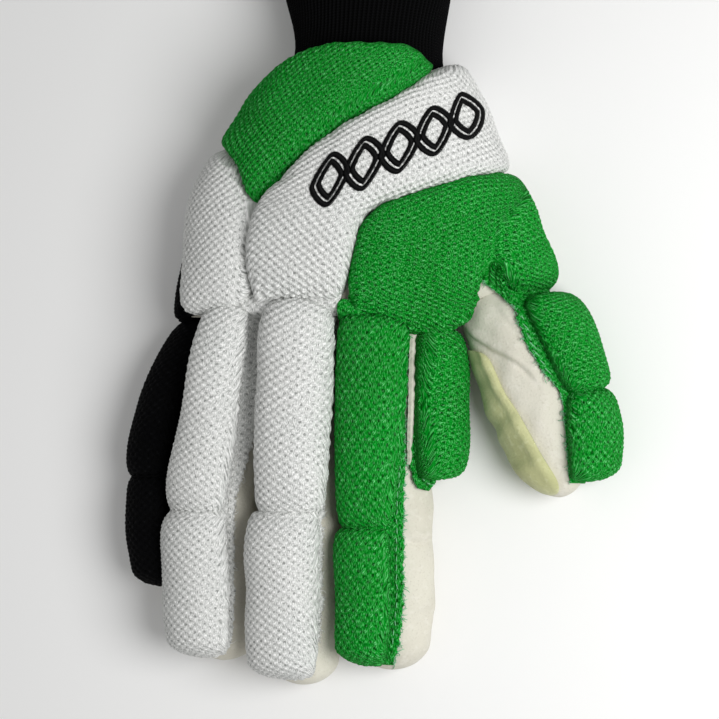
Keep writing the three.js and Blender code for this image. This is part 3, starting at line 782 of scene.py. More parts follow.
def roomForKnots(points, a, b, pad):
    # 1 where a diagonal of the lattice is as long as meant, and down to 0 where it is squeezed:
    # its length is one over the steepness of its phase on the surface
    across, along = np.gradient(points, axis=1), np.gradient(points, axis=0)
    e, f, g = (across**2).sum(-1), (across * along).sum(-1), (along**2).sum(-1)
    meant = 1 / np.hypot(1 / pad["pitch"], 1 / (2 * pad["row"]))
    room = np.ones_like(a)
    for phase in (a + b, a - b):
        p, q = np.gradient(phase, axis=1), np.gradient(phase, axis=0)
        steep = (p * p * g - 2 * p * q * f + q * q * e) / np.maximum(e * g - f * f, 1e-9)
        share = 1 / (meant * np.sqrt(np.maximum(steep, 1e-9)))
        room = np.minimum(room, smooth(*lattice["room"], share))
    return blur(room[..., None], 3)[..., 0]


def extraLength(points, plan, axis):
    # how much longer the way from the middle is on the pad than on its plan
    more = [np.linalg.norm(np.diff(grid, axis=axis), axis=-1) for grid in (points, plan)]
    total = np.insert(np.cumsum(more[0] - more[1], axis=axis), 0, 0, axis=axis)
    return total - total.take([total.shape[axis] // 2], axis)


def padPiece(name, number, move):
    # adds the swelling, soft unevenness, gathers along the seam and the pits of the mesh cloth
    pad = pads[name]
    shape = padShape(pad, pillow["step"])
    points, plan, dome = shape["points"], shape["plan"], shape["dome"]
    if move is not None:
        points = points + blur(resample(move, *dome.shape), pillow["moveBlur"])
    around = np.arctan2(shape["v"], shape["u"]) * pillow["puckerRadius"]
    around = around + ripple(plan, pillow["puckerStraySize"], number) * pillow["puckerStray"]
    fade = dome**0.5 * (1 - smooth(*pillow["puckerFade"], dome))
    gather = np.cos(around * 2 * np.pi / pillow["puckerPitch"]) * fade
    uneven = ripple(plan, pillow["unevenSize"], 50 + number) * smooth(*pillow["unevenRise"], dome)
    offset = pillow["uneven"] * uneven + pillow["pucker"] * gather
    plain = points + gridNormals(points) * offset[..., None]
    flat = plan
    for axis in (1, 0):
        flat = flat + extraLength(plain, plan, axis)[..., None] * unit(np.gradient(plan, axis=axis))
    turn = np.radians(pad["turn"])
    across = flat[..., 0] * np.cos(turn) + flat[..., 1] * np.sin(turn)
    along = flat[..., 1] * np.cos(turn) - flat[..., 0] * np.sin(turn)
    across = across - along * np.tan(np.radians(pad["skew"]))
    strays = [lattice["stray"] * ripple(flat, lattice["strayPitch"], 80 + number + k) for k in (0, 20)]
    a, b = (across + strays[0]) / pad["pitch"], (along + strays[1]) / (2 * pad["row"])
    relief = latticeHeight(a, b) * smooth(*pillow["reliefRise"], dome) * roomForKnots(plain, a, b, pad)
    points = plain + gridNormals(plain) * relief[..., None]
    rim, faces, points = closePad(pad, shape, points)
    cells = np.stack([a, b], axis=-1)
    uv = cells.reshape(-1, 2)
    uv = np.concatenate([uv, np.tile(uv[rim], (len(pillow["under"]), 1))])
    piece = makePiece(name + "_cloth", points, faces, pad["cloth"], uv)
    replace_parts(piece, name)
    u, v = shape["u"][0], shape["v"][:, 0]
    return {"points": plain, "plan": plan, "u": u, "v": v, "uv": cells, "piece": piece}


moves = swellPads()
padForms = {name: padPiece(name, number, moves.get(name)) for number, name in enumerate(pads)}
print("pads made", sum(len(form["piece"].data.polygons) for form in padForms.values()), "faces")

# Cloth between and beside the pads

def makeSheet(name, top, bottom, uv, slot):
    # a closed sheet between two grids of points
    rows, columns = top.shape[:2]
    size = rows * columns
    rim = rimOf(rows, columns)
    after = np.roll(rim, -1)
    sheet = quads(rows, columns)
    edge = np.stack([rim, rim + size, after + size, after], axis=-1)
    faces = np.concatenate([sheet, sheet[:, ::-1] + size, edge])
    makePiece(name, np.stack([top, bottom]), faces.tolist(), slot, np.stack([uv, uv]))


def padEdge(name, side, start, end, height):
    # places on the flank of a pad where its dome has risen to that height, along one side, with the
    # way down there and the cells of the lattice
    form = padForms[name]
    grids = [form["points"], form["uv"]]
    sideways = side in ("left", "right")
    power = pillow["acrossPower"] if sideways else pillow["alongPower"]
    ways = form["u"] if sideways else form["v"]
    if sideways:
        grids = [np.swapaxes(grid, 0, 1) for grid in grids]
    if side in ("right", "near"):
        grids = [grid[::-1] for grid in grids]
        ways = -ways[::-1]
    rise = np.maximum(1 - np.abs(ways) ** power, 0) ** (1 / power)
    row = int(np.argmax(rise >= height))
    edge, uv = grids[0][row], grids[1][row]
    down = unit(grids[0][row] - grids[0][row + 2])
    at = np.linspace(start, end, bridge["count"]) * (len(edge) - 1)
    low = np.clip(at.astype(int), 0, len(edge) - 2)
    share = (at - low)[:, None]
    return [grid[low] * (1 - share) + grid[low + 1] * share for grid in (edge, down, uv)]


bridge = {
    "count": 90,
    "steps": 14,
    "pull": 3,         # how strongly the cloth leaves each side, in widths of the gap
    "narrowest": 1.5,  # a gap counts as at least this wide, mm
    "thick": 0.7,
    "over": 0.1,
    "relief": 0.8,     # share of the relief of the mesh cloth
    "gathers": 40,     # radians of the gathers along a sheet, and how they bend across it
    "gatherBend": 2,
    "gatherTurn": 3,
}

# pad, its side, from and to along that side, then the same for the pad across the valley, and how
# high on the two pads the cloth starts
valleys = {
    "index_groove": ["index_finger_pad", "far", 0, 1, "index_tip_pad", "near", 0, 1, 0.6],
    "middle_groove": ["middle_finger_pad", "far", 0, 1, "middle_tip_pad", "near", 0, 1, 0.8],
    "ring_groove": ["ring_finger_pad", "far", 0, 1, "ring_tip_pad", "near", 0, 1, 0.8],
    "little_groove": ["little_finger_pad", "far", 0, 1, "little_tip_pad", "near", 0, 1, 0.6],
    "thumb_groove": ["thumb_pad", "far", 0, 1, "thumb_tip_pad", "near", 0, 1, 0.6],
    "index_crease": ["index_thumb_pad", "left", 1, 0.5, "index_finger_pad", "near", 0, 1, 0.3],
    "side_crease": ["index_thumb_pad", "left", 0.44, 0.0, "index_side_pad", "near", 0, 1, 0.3],
    "middle_crease": ["back_band_pad", "left", 1, 0, "middle_finger_pad", "near", 0, 1, 0.12],
    "ring_crease": ["ring_knuckle_pad", "far", 0, 1, "ring_finger_pad", "near", 0, 1, 0.12],
    "little_crease": ["little_knuckle_pad", "far", 0, 1, "little_finger_pad", "near", 0, 1, 0.4],
    "knuckle_groove": ["back_band_pad", "near", 0.02, 0.27, "ring_knuckle_pad", "right", 0.02, 0.5, 0.6],
    "thumb_crease": ["index_thumb_pad", "right", 0, 1, "thumb_pad", "near", 0, 1, 0.45],
}


def bridgeSheet(name, pad, edges, downs, uvStart, gather=0.0):
    # from edge to edge on a Hermite curve that leaves each the way its side falls, with gathers
    # across it where they are asked for
    gap = np.maximum(np.linalg.norm(edges[1] - edges[0], axis=1, keepdims=True), bridge["narrowest"])
    pull = gap * bridge["pull"]
    t = np.linspace(0, 1, bridge["steps"])[:, None, None]
    points = hermite(t, edges[0], downs[0] * pull, edges[1], -downs[1] * pull)
    normals = gridNormals(points)
    if normals[..., 2].mean() < 0:
        normals = -normals
    if gather:
        bend = bridge["gatherBend"] * np.sin(t[..., 0] * bridge["gatherTurn"])
        fold = np.cos(np.linspace(0, 1, bridge["count"]) * bridge["gathers"] + bend)
        points = points + normals * (gather * fold * np.sin(np.pi * t[..., 0]))[..., None]
        normals = gridNormals(points) * np.sign((gridNormals(points) * normals).sum(-1, keepdims=True))
    steps = np.linalg.norm(np.diff(points, axis=0), axis=-1)
    walked = np.insert(np.cumsum(steps, axis=0), 0, 0, axis=0)
    uv = uvStart + np.stack([np.zeros_like(walked), -walked / (2 * pad["row"])], axis=-1)
    relief = latticeHeight(uv[..., 0], uv[..., 1]) * bridge["relief"] + bridge["over"]
    top = points + normals * relief[..., None]
    makeSheet(name, top, points - normals * bridge["thick"], uv, pad["cloth"])


for name, (one, sideOne, a0, a1, two, sideTwo, b0, b1, height) in valleys.items():
    edgeA, downA, uvA = padEdge(one, sideOne, a0, a1, height)
    edgeB, downB, _ = padEdge(two, sideTwo, b0, b1, height)
    bridgeSheet(name, pads[one], (edgeA, edgeB), (downA, downB), uvA)
notch = {
    "from": 0.5,
    "height": 0.62,
    "gather": 0.35,
    "leave": 0.4,      # shares of the pull at the pad and at the flange
    "arrive": [0.2, 0.2, 0],
    "flange": [[-2.4, -19.5, 5.6], [-0.5, -24.3, 3.2], [1.2, -27, 1.9], [2.8, -29.8, 1.4], [4.8, -32, 1.2]],
}
edgeA, downA, uvA = padEdge("index_thumb_pad", "far", notch["from"], 1, notch["height"])
edgeB = onTube("thumb", smoothLine(notch["flange"], bridge["count"]))
downs = (downA * notch["leave"], unit(edgeA - edgeB) * notch["arrive"])
bridgeSheet("notch_fold", pads["index_thumb_pad"], (edgeA, edgeB), downs, uvA, notch["gather"])
print("valleys made")

# The cloth that the pads are sewn to stands out beside them as a raw edge. left and right are
# places s, y, lift along its two edges from near to far, and inner is the lift away from them.
# frayed is the edge that has threads, then come their number and colour.
backingColumns = ["tube", "cloth", "pitch", "row", "inner", "frayed", "threads", "colour", "left", "right"]
backings = {
    "index_backing": [
        "index", "green_mesh", 3.1, 1.85, [0, 0], "right", 420, "pale_green",
        [[-13.8, -32, 0.6], [-14.4, -60, 0.6], [-14.4, -100, 0.6], [-14, -130, 0.6], [-13, -147, 0.6]],
        [[8, -34, 1], [7.9, -43, 1.2], [7, -57.5, 1], [6.7, -82.4, 1.2], [5.9, -93.4, 1.5],
         [5.4, -114, 1.6], [4.2, -136, 1.6], [2.2, -147, 1.2]],
    ],
    "side_backing": [
        "index", "green_mesh", 3.6, 1.3, [0, 0], "left", 120, "green",
        [[12.8, -38.5, 0.8], [11.6, -46, 0.9], [9.2, -60, 1], [8.2, -70, 1], [8, -82, 1.2],
         [10.5, -89.6, 1.4]],
        [[24, -38.5, 0.6], [25, -50, 0.6], [25, -70, 0.6], [24.5, -80, 0.6], [23, -85, 0.8],
         [15, -90.4, 1.2]],
    ],
    "middle_backing": [
        "middle", "white_mesh", 3.2, 1.3, [0, 0], "right", 520, "white",
        [[-13.5, -32, 0.6], [-14, -60, 0.6], [-14, -97, 0.6], [-14.5, -110, 0.6], [-13.5, -148, 0.6]],
        [[12.6, -33, 1], [12, -40, 1], [11, -56.8, 1], [10.2, -71, 1.1], [10, -86, 1.2], [9.3, -103.5, 1.2],
         [9, -120.5, 1.2], [8, -137, 1.2], [5.4, -148, 1]],
    ],
    "ring_backing": [
        "ring", "white_mesh", 3.2, 1.3, [0, 0], "right", 160, "white",
        [[-13.5, -32, 0.6], [-14.2, -60, 0.6], [-14.4, -97, 0.6], [-14.4, -120, 0.6], [-13.5, -143, 0.6]],
        [[12.6, -31.6, 5.6], [12.3, -45, 5.2], [11.9, -56, 4.6], [10.8, -75.8, 3.2], [9.2, -86, 2.2],
         [8, -97, 1.4], [7.9, -120, 1.3], [7.3, -135, 1.2], [5, -144, 1]],
    ],
    "little_backing": [
        "little", "black_mesh", 3, 1.3, [0, 0], "right", 60, "black",
        [[-10.5, -34, 0.6], [-12.2, -60, 0.6], [-12.4, -86, 0.6], [-9, -121.5, 0.6]],
        [[4.5, -34, 0.8], [7, -60, 0.8], [7.6, -86, 0.8], [6.5, -122.5, 0.8]],
    ],
    "thumb_backing": [
        "thumb", "green_mesh", 3.6, 1.3, [0, 0], "left", 260, "pale_green",
        [[-2.1, -20.4, 5.2], [-0.5, -24.3, 3.2], [1.2, -27, 1.9], [2.8, -29.8, 1.6], [4.4, -31.6, 1.5],
         [3.8, -36, 1.2], [3.8, -41.6, 1], [5.1, -47.8, 0.9], [7.5, -54.5, 0.9], [9.7, -59.3, 1.2],
         [8.9, -66.9, 0.9], [6.6, -79.3, 0.9], [5.6, -88, 0.9]],
        [[24, -21, 0.3], [27, -27, 0.4], [30, -35, 0.4], [30.5, -45, 0.4], [30, -60, 0.4], [27, -74, 0.4],
         [24, -88, 0.6]],
    ],
    "knuckle_backing": [
        "hand", "white_mesh", 3.2, 1.3, [1.5, 3, 2.6, -2.5], "", 0, "",
        [[-39, -26, 1], [-39, -29, 2.3], [-38.5, -31, 2], [-38, -33.5, -2.5]],
        [[12.8, -26, 1.5], [12.8, -29, 3.4], [12.8, -31, 3], [12.8, -33.5, -2.5]],
    ],
    "index_welt": [
        "index", "suede_leather", 3.2, 1.3, [2.2, 2.6, 2.2], "", 0, "",
        [[8.4, -37, 1.2], [8, -46, 1.7], [7.6, -60, 1.8], [7.2, -72, 1.7], [7.2, -82, 1.2]],
        [[13.4, -37, 1.2], [12.2, -46, 1.7], [9.9, -60, 1.8], [8.9, -72, 1.7], [8.4, -82, 1.2]],
    ],
    "index_knuckle_backing": [
        "hand", "green_mesh", 3.2, 1.3, [2.5, 4, -1], "", 0, "",
        [[12.4, -28.4, 2.5], [12.4, -31.4, 4.8], [12.4, -35, -1]],
        [[46, -33, 2], [46, -36, 3], [46, -39, -1]],
    ],
    "little_knuckle_backing": [
        "hand", "black_mesh", 3, 1.3, [1, 1.5, 0.8], "", 0, "",
        [[-50, -27, 0.8], [-50, -29.5, 1.2], [-50, -31.4, 0.8]],
        [[-39.4, -27, 1], [-39.4, -29.5, 1.5], [-39.4, -31.4, 1]],
    ],
}


def strands(name, centres, radii, material, slot, sides=4):
    # round threads along centre lines: a ring of that radius round each point, with closed ends
    tangents = unit(np.gradient(centres, axis=1))
    beside = unit(np.cross(tangents, [0.31, 0.17, 0.93]))
    third = np.cross(tangents, beside)
    angle = (np.arange(sides) * 2 * np.pi / sides)[:, None]
    way = np.cos(angle) * beside[:, :, None] + np.sin(angle) * third[:, :, None]
    rings = centres[:, :, None] + radii[..., None, None] * way
    count, steps = centres.shape[:2]
    offset = (np.arange(count) * steps * sides)[:, None]
    faces = (quads(steps, sides, wrap=True) + offset[..., None]).reshape(-1, 4)
    ring = np.arange(sides)
    caps = np.concatenate([ring[::-1] + offset, ring + (steps - 1) * sides + offset])
    makePiece(name, rings, faces.tolist() + caps.tolist(), slot, material=material)


fringe = {
    "angle": 0.7,      # spread of the angle at the edge and of the bend on the way
    "bend": 0.9,
    "shape": 2.2,      # of the gamma distribution of the lengths, and its scale, mm
    "length": 0.28,
    "least": 0.3,
    "inside": 0.3,     # a thread starts this far inside the edge and as far over it
    "rise": 0.12,      # mean of the slope upwards, and its spread
    "riseSpread": 0.4,
    "thick": [0.13, 0.23],
    "taper": (1.1, 0.6),   # share of the radius at the start, and how much it loses
    "points": 5,
}


def makeFringe(name, row, edge, way, seed):
    # frayed threads: each starts at the edge, goes outwards at its own angle and bends on the way
    f = fringe
    rng = np.random.default_rng(seed)
    count = row["threads"]
    at = rng.uniform(0, len(edge) - 1, count)
    start = placesAt(at, np.arange(len(edge)), edge)[:, None]
    t = np.linspace(0, 1, f["points"])[None]
    angle = rng.normal(0, f["angle"], (count, 1)) + rng.normal(0, f["bend"], (count, 1)) * t
    reach = (rng.gamma(f["shape"], f["length"], (count, 1)) + f["least"]) * t
    s = start[..., 0] + way * (np.cos(angle) * reach - f["inside"])
    y = start[..., 1] + np.sin(angle) * reach
    slope = rng.normal(f["rise"], f["riseSpread"], (count, 1))
    lift = start[..., 2] + f["inside"] + slope * reach
    radii = rng.uniform(*f["thick"], (count, 1)) * (f["taper"][0] - f["taper"][1] * t)
    centres = skinPoints(tubes[row["tube"]], s, y, np.maximum(lift, 0.1))
    strands(name, centres, radii, threads[row["colour"]], row["cloth"], 3)


stitch = {
    "stray": 0.12,     # how far its place and its slant stray, mm
    "beside": 0.08,
    "lengths": (0.8, 1.15),    # shares of the length meant
    "rise": 0.6,       # its middle is this high and its ends this much lower, in thicknesses
    "fall": 1.6,
    "points": 7,
    "samples": 400,    # of the line
}


def makeStitches(name, tube, line, pitch, length, slant, colour, slot, thick, seed):
    # stitches along a line s, y, lift: each rises out of the cloth, lies along it and goes back in
    rng = np.random.default_rng(seed)
    dense = smoothLine(line, stitch["samples"])
    walked = walkAlong(onTube(tube, dense))
    count = int(walked[-1] / pitch)
    middle = (np.arange(count) + 0.5) * pitch + rng.normal(0, stitch["stray"], count)
    t = np.linspace(-0.5, 0.5, stitch["points"])
    at = middle[:, None] + t * length * rng.uniform(*stitch["lengths"], (count, 1))
    s, y, base = np.moveaxis(placesAt(at, walked, dense), -1, 0)
    s = s + (slant + rng.normal(0, stitch["stray"], (count, 1))) * t * 2
    s = s + rng.normal(0, stitch["beside"], (count, 1))
    up = base + thick * (stitch["rise"] - stitch["fall"] * (2 * t) ** 2)
    radii = np.broadcast_to(thick * np.sqrt(1.02 - (2 * t) ** 2), s.shape)
    strands(name, skinPoints(tubes[tube], s, y, up), radii, threads[colour], slot, 6)


backingSheet = {
    "step": 0.6,       # mm between two rows
    "moreRows": 12,
    "columns": 30,
    "broad": 30,       # a broader one has more columns
    "broadColumns": 80,
    "ragged": (0.35, 0.3),     # two ripples of a frayed edge, and their sizes
    "raggedSizes": (1.8, 4.5),
    "rimReach": 4,     # the lift of the rim fades over this way inwards, mm
    "over": 0.3,       # how far the middle of the sheet is over the lift
    "under": 0.15,     # how far its underside is below that
    "relief": 0.8,     # share of the relief of the mesh cloth
    "wave": 0.25,      # a soft wave of the rim, its size, and its reach inwards
    "waveSize": 5,
    "waveReach": 3,
    "thick": (0.1, 0.75),      # at the rim, and how much more inside, mm
    "thickReach": (-0.1, 0.8), # the way inwards where it begins to be more and where it is full
}


def makeBacking(name, row, number):
    # a thin sheet between its two edges, lifted at its rim, with a ragged edge where it is frayed;
    # its columns t = (1 + sin(turn)) / 2 stand closer together at the edges
    sheet = backingSheet
    length = walkAlong(np.array(row["right"])[:, :2])[-1]
    count = int(length / sheet["step"]) + sheet["moreRows"]
    left, right = smoothLine(row["left"], count), smoothLine(row["right"], count)
    way = -1 if row["frayed"] == "left" else 1
    raw = left if way < 0 else right
    if row["frayed"]:
        places = onTube(row["tube"], raw)
        fine, coarse = [ripple(places, size, number + k) for size, k in zip(sheet["raggedSizes"], (0, 9))]
        raw[:, 0] += sheet["ragged"][0] * fine + sheet["ragged"][1] * coarse
    width = np.abs(right[:, 0] - left[:, 0])
    columns = sheet["broadColumns" if width.max() > sheet["broad"] else "columns"]
    t = ((1 + np.sin(np.linspace(-np.pi / 2, np.pi / 2, columns))) / 2)[:, None]
    plan = left[:, None] * (1 - t) + right[:, None] * t
    rim = np.minimum(t, 1 - t)[:, 0] * width[:, None]
    cells = plan[..., :2] / [row["pitch"], 2 * row["row"]]
    inner = np.interp(np.linspace(0, 1, count), np.linspace(0, 1, len(row["inner"])), row["inner"])[:, None]
    lift = inner + (plan[..., 2] - inner) * np.exp(-rim / sheet["rimReach"]) + sheet["over"]
    relief = latticeHeight(cells[..., 0], cells[..., 1]) * sheet["relief"]
    ripples = ripple(plan[..., :2], sheet["waveSize"], number)
    wave = sheet["wave"] * ripples * np.exp(-rim / sheet["waveReach"])
    thick = sheet["thick"][1] * smooth(*sheet["thickReach"], rim) + sheet["thick"][0]
    top, bottom = [
        skinPoints(tubes[row["tube"]], plan[..., 0], plan[..., 1], height)
        for height in (lift + thick + relief + wave, lift - sheet["under"] + wave)
    ]
    makeSheet(name, top, bottom, cells, row["cloth"])
    if row["frayed"]:
        makeFringe(name + "_fringe", row, raw, way, number)


for number, (name, row) in enumerate(backings.items()):
    makeBacking(name, dict(zip(backingColumns, row)), number)

# tube, line s, y, lift; pitch, length and slant of the stitches; thread, cloth and thickness
seams = {
    "index_seam": ["index", [[5.4, -72, 2.3], [4.6, -86, 2.6], [3.8, -98, 2.7], [3.5, -110, 2.7],
                             [3.2, -122, 2.7], [2.4, -134, 2.7], [1.4, -143, 2.5]],
                   3, 2.1, 0, "pale_green", "green_mesh", 0.17],
    "ring_seam": ["ring", [[9.6, -36, 2], [9, -50, 2.1], [8.4, -66, 2.3], [7.4, -80, 2.4], [6.3, -94, 2.2],
                           [6.1, -110, 2.1], [6, -134, 2.1]], 3, 2.1, 0, "white", "white_mesh", 0.2],
    "middle_seam": ["middle", [[10.6, -38, 1.9], [9.4, -60, 2], [8.4, -80, 2.1], [7.6, -104, 2.1],
                               [7, -125, 2.1], [5.4, -143, 2]], 3, 2.1, 0, "white", "white_mesh", 0.2],
    "side_seam": ["index", [[13.4, -41, 2.3], [11.4, -52, 2.4], [10, -64, 2.4], [9.6, -76, 2.5],
                            [11, -85, 2.6], [14.5, -88.2, 2.6], [20, -87.6, 2.4]],
                  3, 2.1, 0.15, "pale_green", "green_mesh", 0.18],
    "thumb_seam": ["thumb", [[5.6, -33.5, 2], [5.4, -42, 1.9], [6.8, -49, 1.8], [9.2, -56, 1.9]],
                   3.2, 2.8, 0.5, "pale_green", "green_mesh", 0.18],
    "thumb_tip_seam": ["thumb", [[10, -64, 1.9], [8.3, -74, 1.8], [7, -85, 1.8]],
                       3.2, 2.6, 0.4, "green", "green_mesh", 0.18],
}
for number, (name, row) in enumerate(seams.items()):
    makeStitches(name, *row, number)
print("raw edges and stitches made")

# Embroidery on the band: a row of slanted lozenges in satin stitch, each with a bare line inside
embroidery = {
    "line": [[-1, 6.2], [1.6, 7.6], [5.4, 9.6], [12.9, 13.9], [22.1, 20], [30.2, 26.2], [35.4, 30.6],
             [38.2, 33.2]],
    "lozenges": 5,
    "width": 11.6,
    "height": 16.4,
    "power": 1.3,      # of the outline |x / a|^p + |y / b|^p = 1; at 1 the corners are sharp
    "slant": 18,       # degrees
    "column": 1.3,     # width of a row of satin stitches
    "bare": 0.6,       # cloth left open between the two rows
    "pitch": 0.32,
    "radius": 0.2,
    "lift": 0.2,       # of the ends of a stitch, and how much higher its middle is
    "rise": 0.45,
    "uneven": 0.03,
    "widths": (0.92, 1.08),    # shares of the width of the column
    "corners": 720,    # of the outline
    "samples": 400,    # of the line
}


def onPad(name, places, lift):
    # the nearest point of the grid of the pad, moved on along its two ways to meet s, y exactly
    form = padForms[name]
    plan, points = form["plan"], form["points"]
    tree = KDTree(plan.shape[0] * plan.shape[1])
    for number, (s, y) in enumerate(plan.reshape(-1, 2).tolist()):
        tree.insert((s, y, 0), number)
    tree.balance()
    found = np.array([tree.find((s, y, 0))[1] for s, y in places.reshape(-1, 2).tolist()])

    def atFound(grid):
        return grid.reshape(-1, grid.shape[-1])[found]

    rowWay, columnWay = [
        [atFound(np.gradient(grid, axis=axis)) for grid in (plan, points)] for axis in (0, 1)
    ]
    missing = places.reshape(-1, 2) - atFound(plan)
    area = spanned(rowWay[0], columnWay[0])
    alongRows = spanned(missing, columnWay[0]) / area
    alongColumns = spanned(rowWay[0], missing) / area
    place = atFound(points) + alongRows[:, None] * rowWay[1] + alongColumns[:, None] * columnWay[1]
    return (place + atFound(gridNormals(points)) * np.reshape(lift, (-1, 1))).reshape(*places.shape[:-1], 3)


def makeEmbroidery():
    # two rows of stitches across the outline of a lozenge, x leaned over by y * tan(slant), put along
    # the line at even lengths; a stitch rises by lift + rise * (1 - (2t)^2) over the pad
    e = embroidery
    stroke = 2 * e["column"] + e["bare"]
    half = np.array([e["width"] - stroke, e["height"] - stroke]) / 2
    turn = np.linspace(0, 2 * np.pi, e["corners"] + 1)
    ways = np.stack([np.cos(turn), np.sin(turn)], axis=-1)
    path = half * np.sign(ways) * np.abs(ways) ** (2 / e["power"])
    along = unit(np.roll(path[:-1], -1, 0) - np.roll(path[:-1], 1, 0))
    along = np.concatenate([along, along[:1]])
    across = along[:, ::-1] * [1, -1]
    stitches = []
    for side in (-1, 1):
        # as many stitches as the outer rim of the row needs
        offset = side * (e["column"] + e["bare"]) / 2
        walked = walkAlong(path + across * (offset + e["column"] / 2))
        at = np.arange(0, walked[-1], e["pitch"])
        stitches.append([offset, placesAt(at, walked, path), placesAt(at, walked, across)])
    t = np.linspace(-0.5, 0.5, 5)
    rng = np.random.default_rng(4)
    line = smoothLine(e["line"], e["samples"] + 1)
    tangents = unit(np.gradient(line, axis=0))
    lean = np.tan(np.radians(e["slant"]))
    centres = []
    for number in range(e["lozenges"]):
        at = int((number + 0.5) / e["lozenges"] * e["samples"])
        ahead = tangents[at]
        up = np.array([-ahead[1], ahead[0]])
        for offset, middle, out in stitches:
            width = e["column"] * rng.uniform(*e["widths"], (len(middle), 1))
            places = middle[:, None] + out[:, None] * (offset + t * width)[..., None]
            x, y = places[..., :1], places[..., 1:]
            centres.append(line[at] + (x + lean * y) * ahead + y * up)
    centres = np.concatenate(centres)
    lift = e["lift"] + e["rise"] * (1 - (2 * t) ** 2) + rng.normal(0, e["uneven"], (len(centres), 1))
    places = onPad("back_band_pad", centres, lift)
    strands("band_embroidery", places, np.full(lift.shape, e["radius"]), threads["black"], "white_mesh", 5)


makeEmbroidery()
print("embroidery made")

# Leather

leather = {
    "around": {"back": 20, "round": 16, "flat": 8},
    "fineAround": {"back": 34, "round": 22, "flat": 12},   # where there are creases
    "coarseAround": {"back": 12, "round": 8, "flat": 4},   # for the holes
    "step": 1.2,
    "fineStep": 0.7,   # share of the step where there are creases
    "tipRings": 18,
    "rings": 70,       # of the outside and the inside of the hand
    "innerRings": 40,
    "dent": 0.35,
    "end": 47.7,       # at the wrist, where the cuff is sewn on
    "knuckles": -31.5,
    "seam": 0.35,      # a finger starts this far past the knuckles
    "holeStations": (-29.2, -34.5),    # y of the ends of the holes from the hand to the fingers
    "littleHole": 3.2,     # the hole to the little finger is smaller by this all round, mm
    "thumbStations": (-4, -13, -22, -29, -36, -43, -50),   # of the hole to the thumb, from its mouth
    "handStations": (64, 52, 34, 20, 12, 5, -3, -10, -16, -20, -24, -28),  # for the space in the thumb
    "handInset": 0.2,
    "dentSize": 11,        # of the hand, and of the fingers
    "fingerDentSize": 9,
}

# how wide the furrow and the roll are, how far from the line the roll is, and how the ends fade
creaseShape = {"furrow": 0.9, "roll": 1.8, "rollAt": 2.3, "fade": 0.6, "samples": 80}

# a crease is a line s, y with the depth of the furrow and the height of the roll beside it
creases = {
    "thumb": [
        [[[-20, -37], [-15.9, -40.3], [-9.1, -45.4], [-3.5, -48.6], [0.5, -52], [3.5, -57]], 0.9, 1.1],
        [[[-3, -30], [1, -38], [3, -46]], 0.2, 0.5],
    ],
    "index": [
        [[[6, -106], [12, -107.4], [20, -106]], 0.9, 0.8],
        [[[9, -131], [15, -129.4], [21, -131]], 0.3, 0.3],
    ],
}


def creaseDepth(name, places):
    # a furrow -depth * exp(-(d / furrow)^2) with a roll height * exp(-((d - rollAt) / roll)^2) on the
    # wrist side of the line, both fading at its ends; d is the distance, positive to the wrist
    c = creaseShape
    total = np.zeros(places.shape[:-1])
    for line, depth, height in creases.get(name, []):
        dense = smoothLine(line, c["samples"])
        step = places[..., None, :] - dense
        far = np.linalg.norm(step, axis=-1)
        nearest = far.argmin(axis=-1)
        ahead = unit(np.gradient(dense, axis=0))[nearest]
        toLine = np.take_along_axis(step, nearest[..., None, None], axis=-2)[..., 0, :]
        d = far.min(axis=-1) * np.sign(spanned(ahead, toLine))
        fade = np.sin(np.pi * np.clip(nearest / (len(dense) - 1), 0.02, 0.98)) ** c["fade"]
        roll = height * np.exp(-(((d - c["rollAt"]) / c["roll"]) ** 2))
        total += fade * (roll - depth * np.exp(-((d / c["furrow"]) ** 2)))
    return total


def ringPlaces(tube, y, steps):
    # s of every point round the tube at each y, over the thumb side first
    _, _, _, left, right, height, side, _ = sectionAt(tube, y)
    shares = [[], [], []]
    for k, part in enumerate(("back", "round", "flat")):
        share = np.arange(steps[part]) / steps[part]
        for other in range(3):
            shares[other].append(share if other == k else np.full(len(share), float(other < k)))
    shares = [np.append(np.concatenate(share), 1.0) for share in shares]
    halves = []
    for half in (right, left):
        lengths = arcsOf(half, height, side)[2:]
        halves.append(sum(length[:, None] * share for length, share in zip(lengths, shares)))
    return np.concatenate([halves[0], -halves[1][:, -2:0:-1]], axis=1)


def ringGrid(tube, y, lift, wall=0, steps=leather["around"]):
    # a ring of points on the tube at each y, and their s
    s = ringPlaces(tube, y, steps)
    return skinPoints(tube, s, y[:, None], lift, wall), s


def skinFaces(rows, columns):
    # rings joined one to the next, with a flat face over the first and the last
    ring = np.arange(columns)
    ends = [ring[::-1].tolist(), ((rows - 1) * columns + ring).tolist()]
    return quads(rows, columns, wrap=True).tolist() + ends


def stallStations(tube, mouth, wall, step):
    # y of the rings: even steps from the mouth to the bend, then by the sine of even turns to the tip
    bend = tube["tip"] + tube["tipLength"]
    along = np.linspace(mouth, bend, int((mouth - bend) / step) + 1)[:-1]
    turn = np.linspace(0, np.pi / 2, leather["tipRings"])[:-1]
    return np.append(along, bend - (tube["tipLength"] - wall) * np.sin(turn))


def dented(points, dent):
    # moved out of the middle of each ring
    return points + unit(points - points.mean(axis=1, keepdims=True)) * dent[..., None]


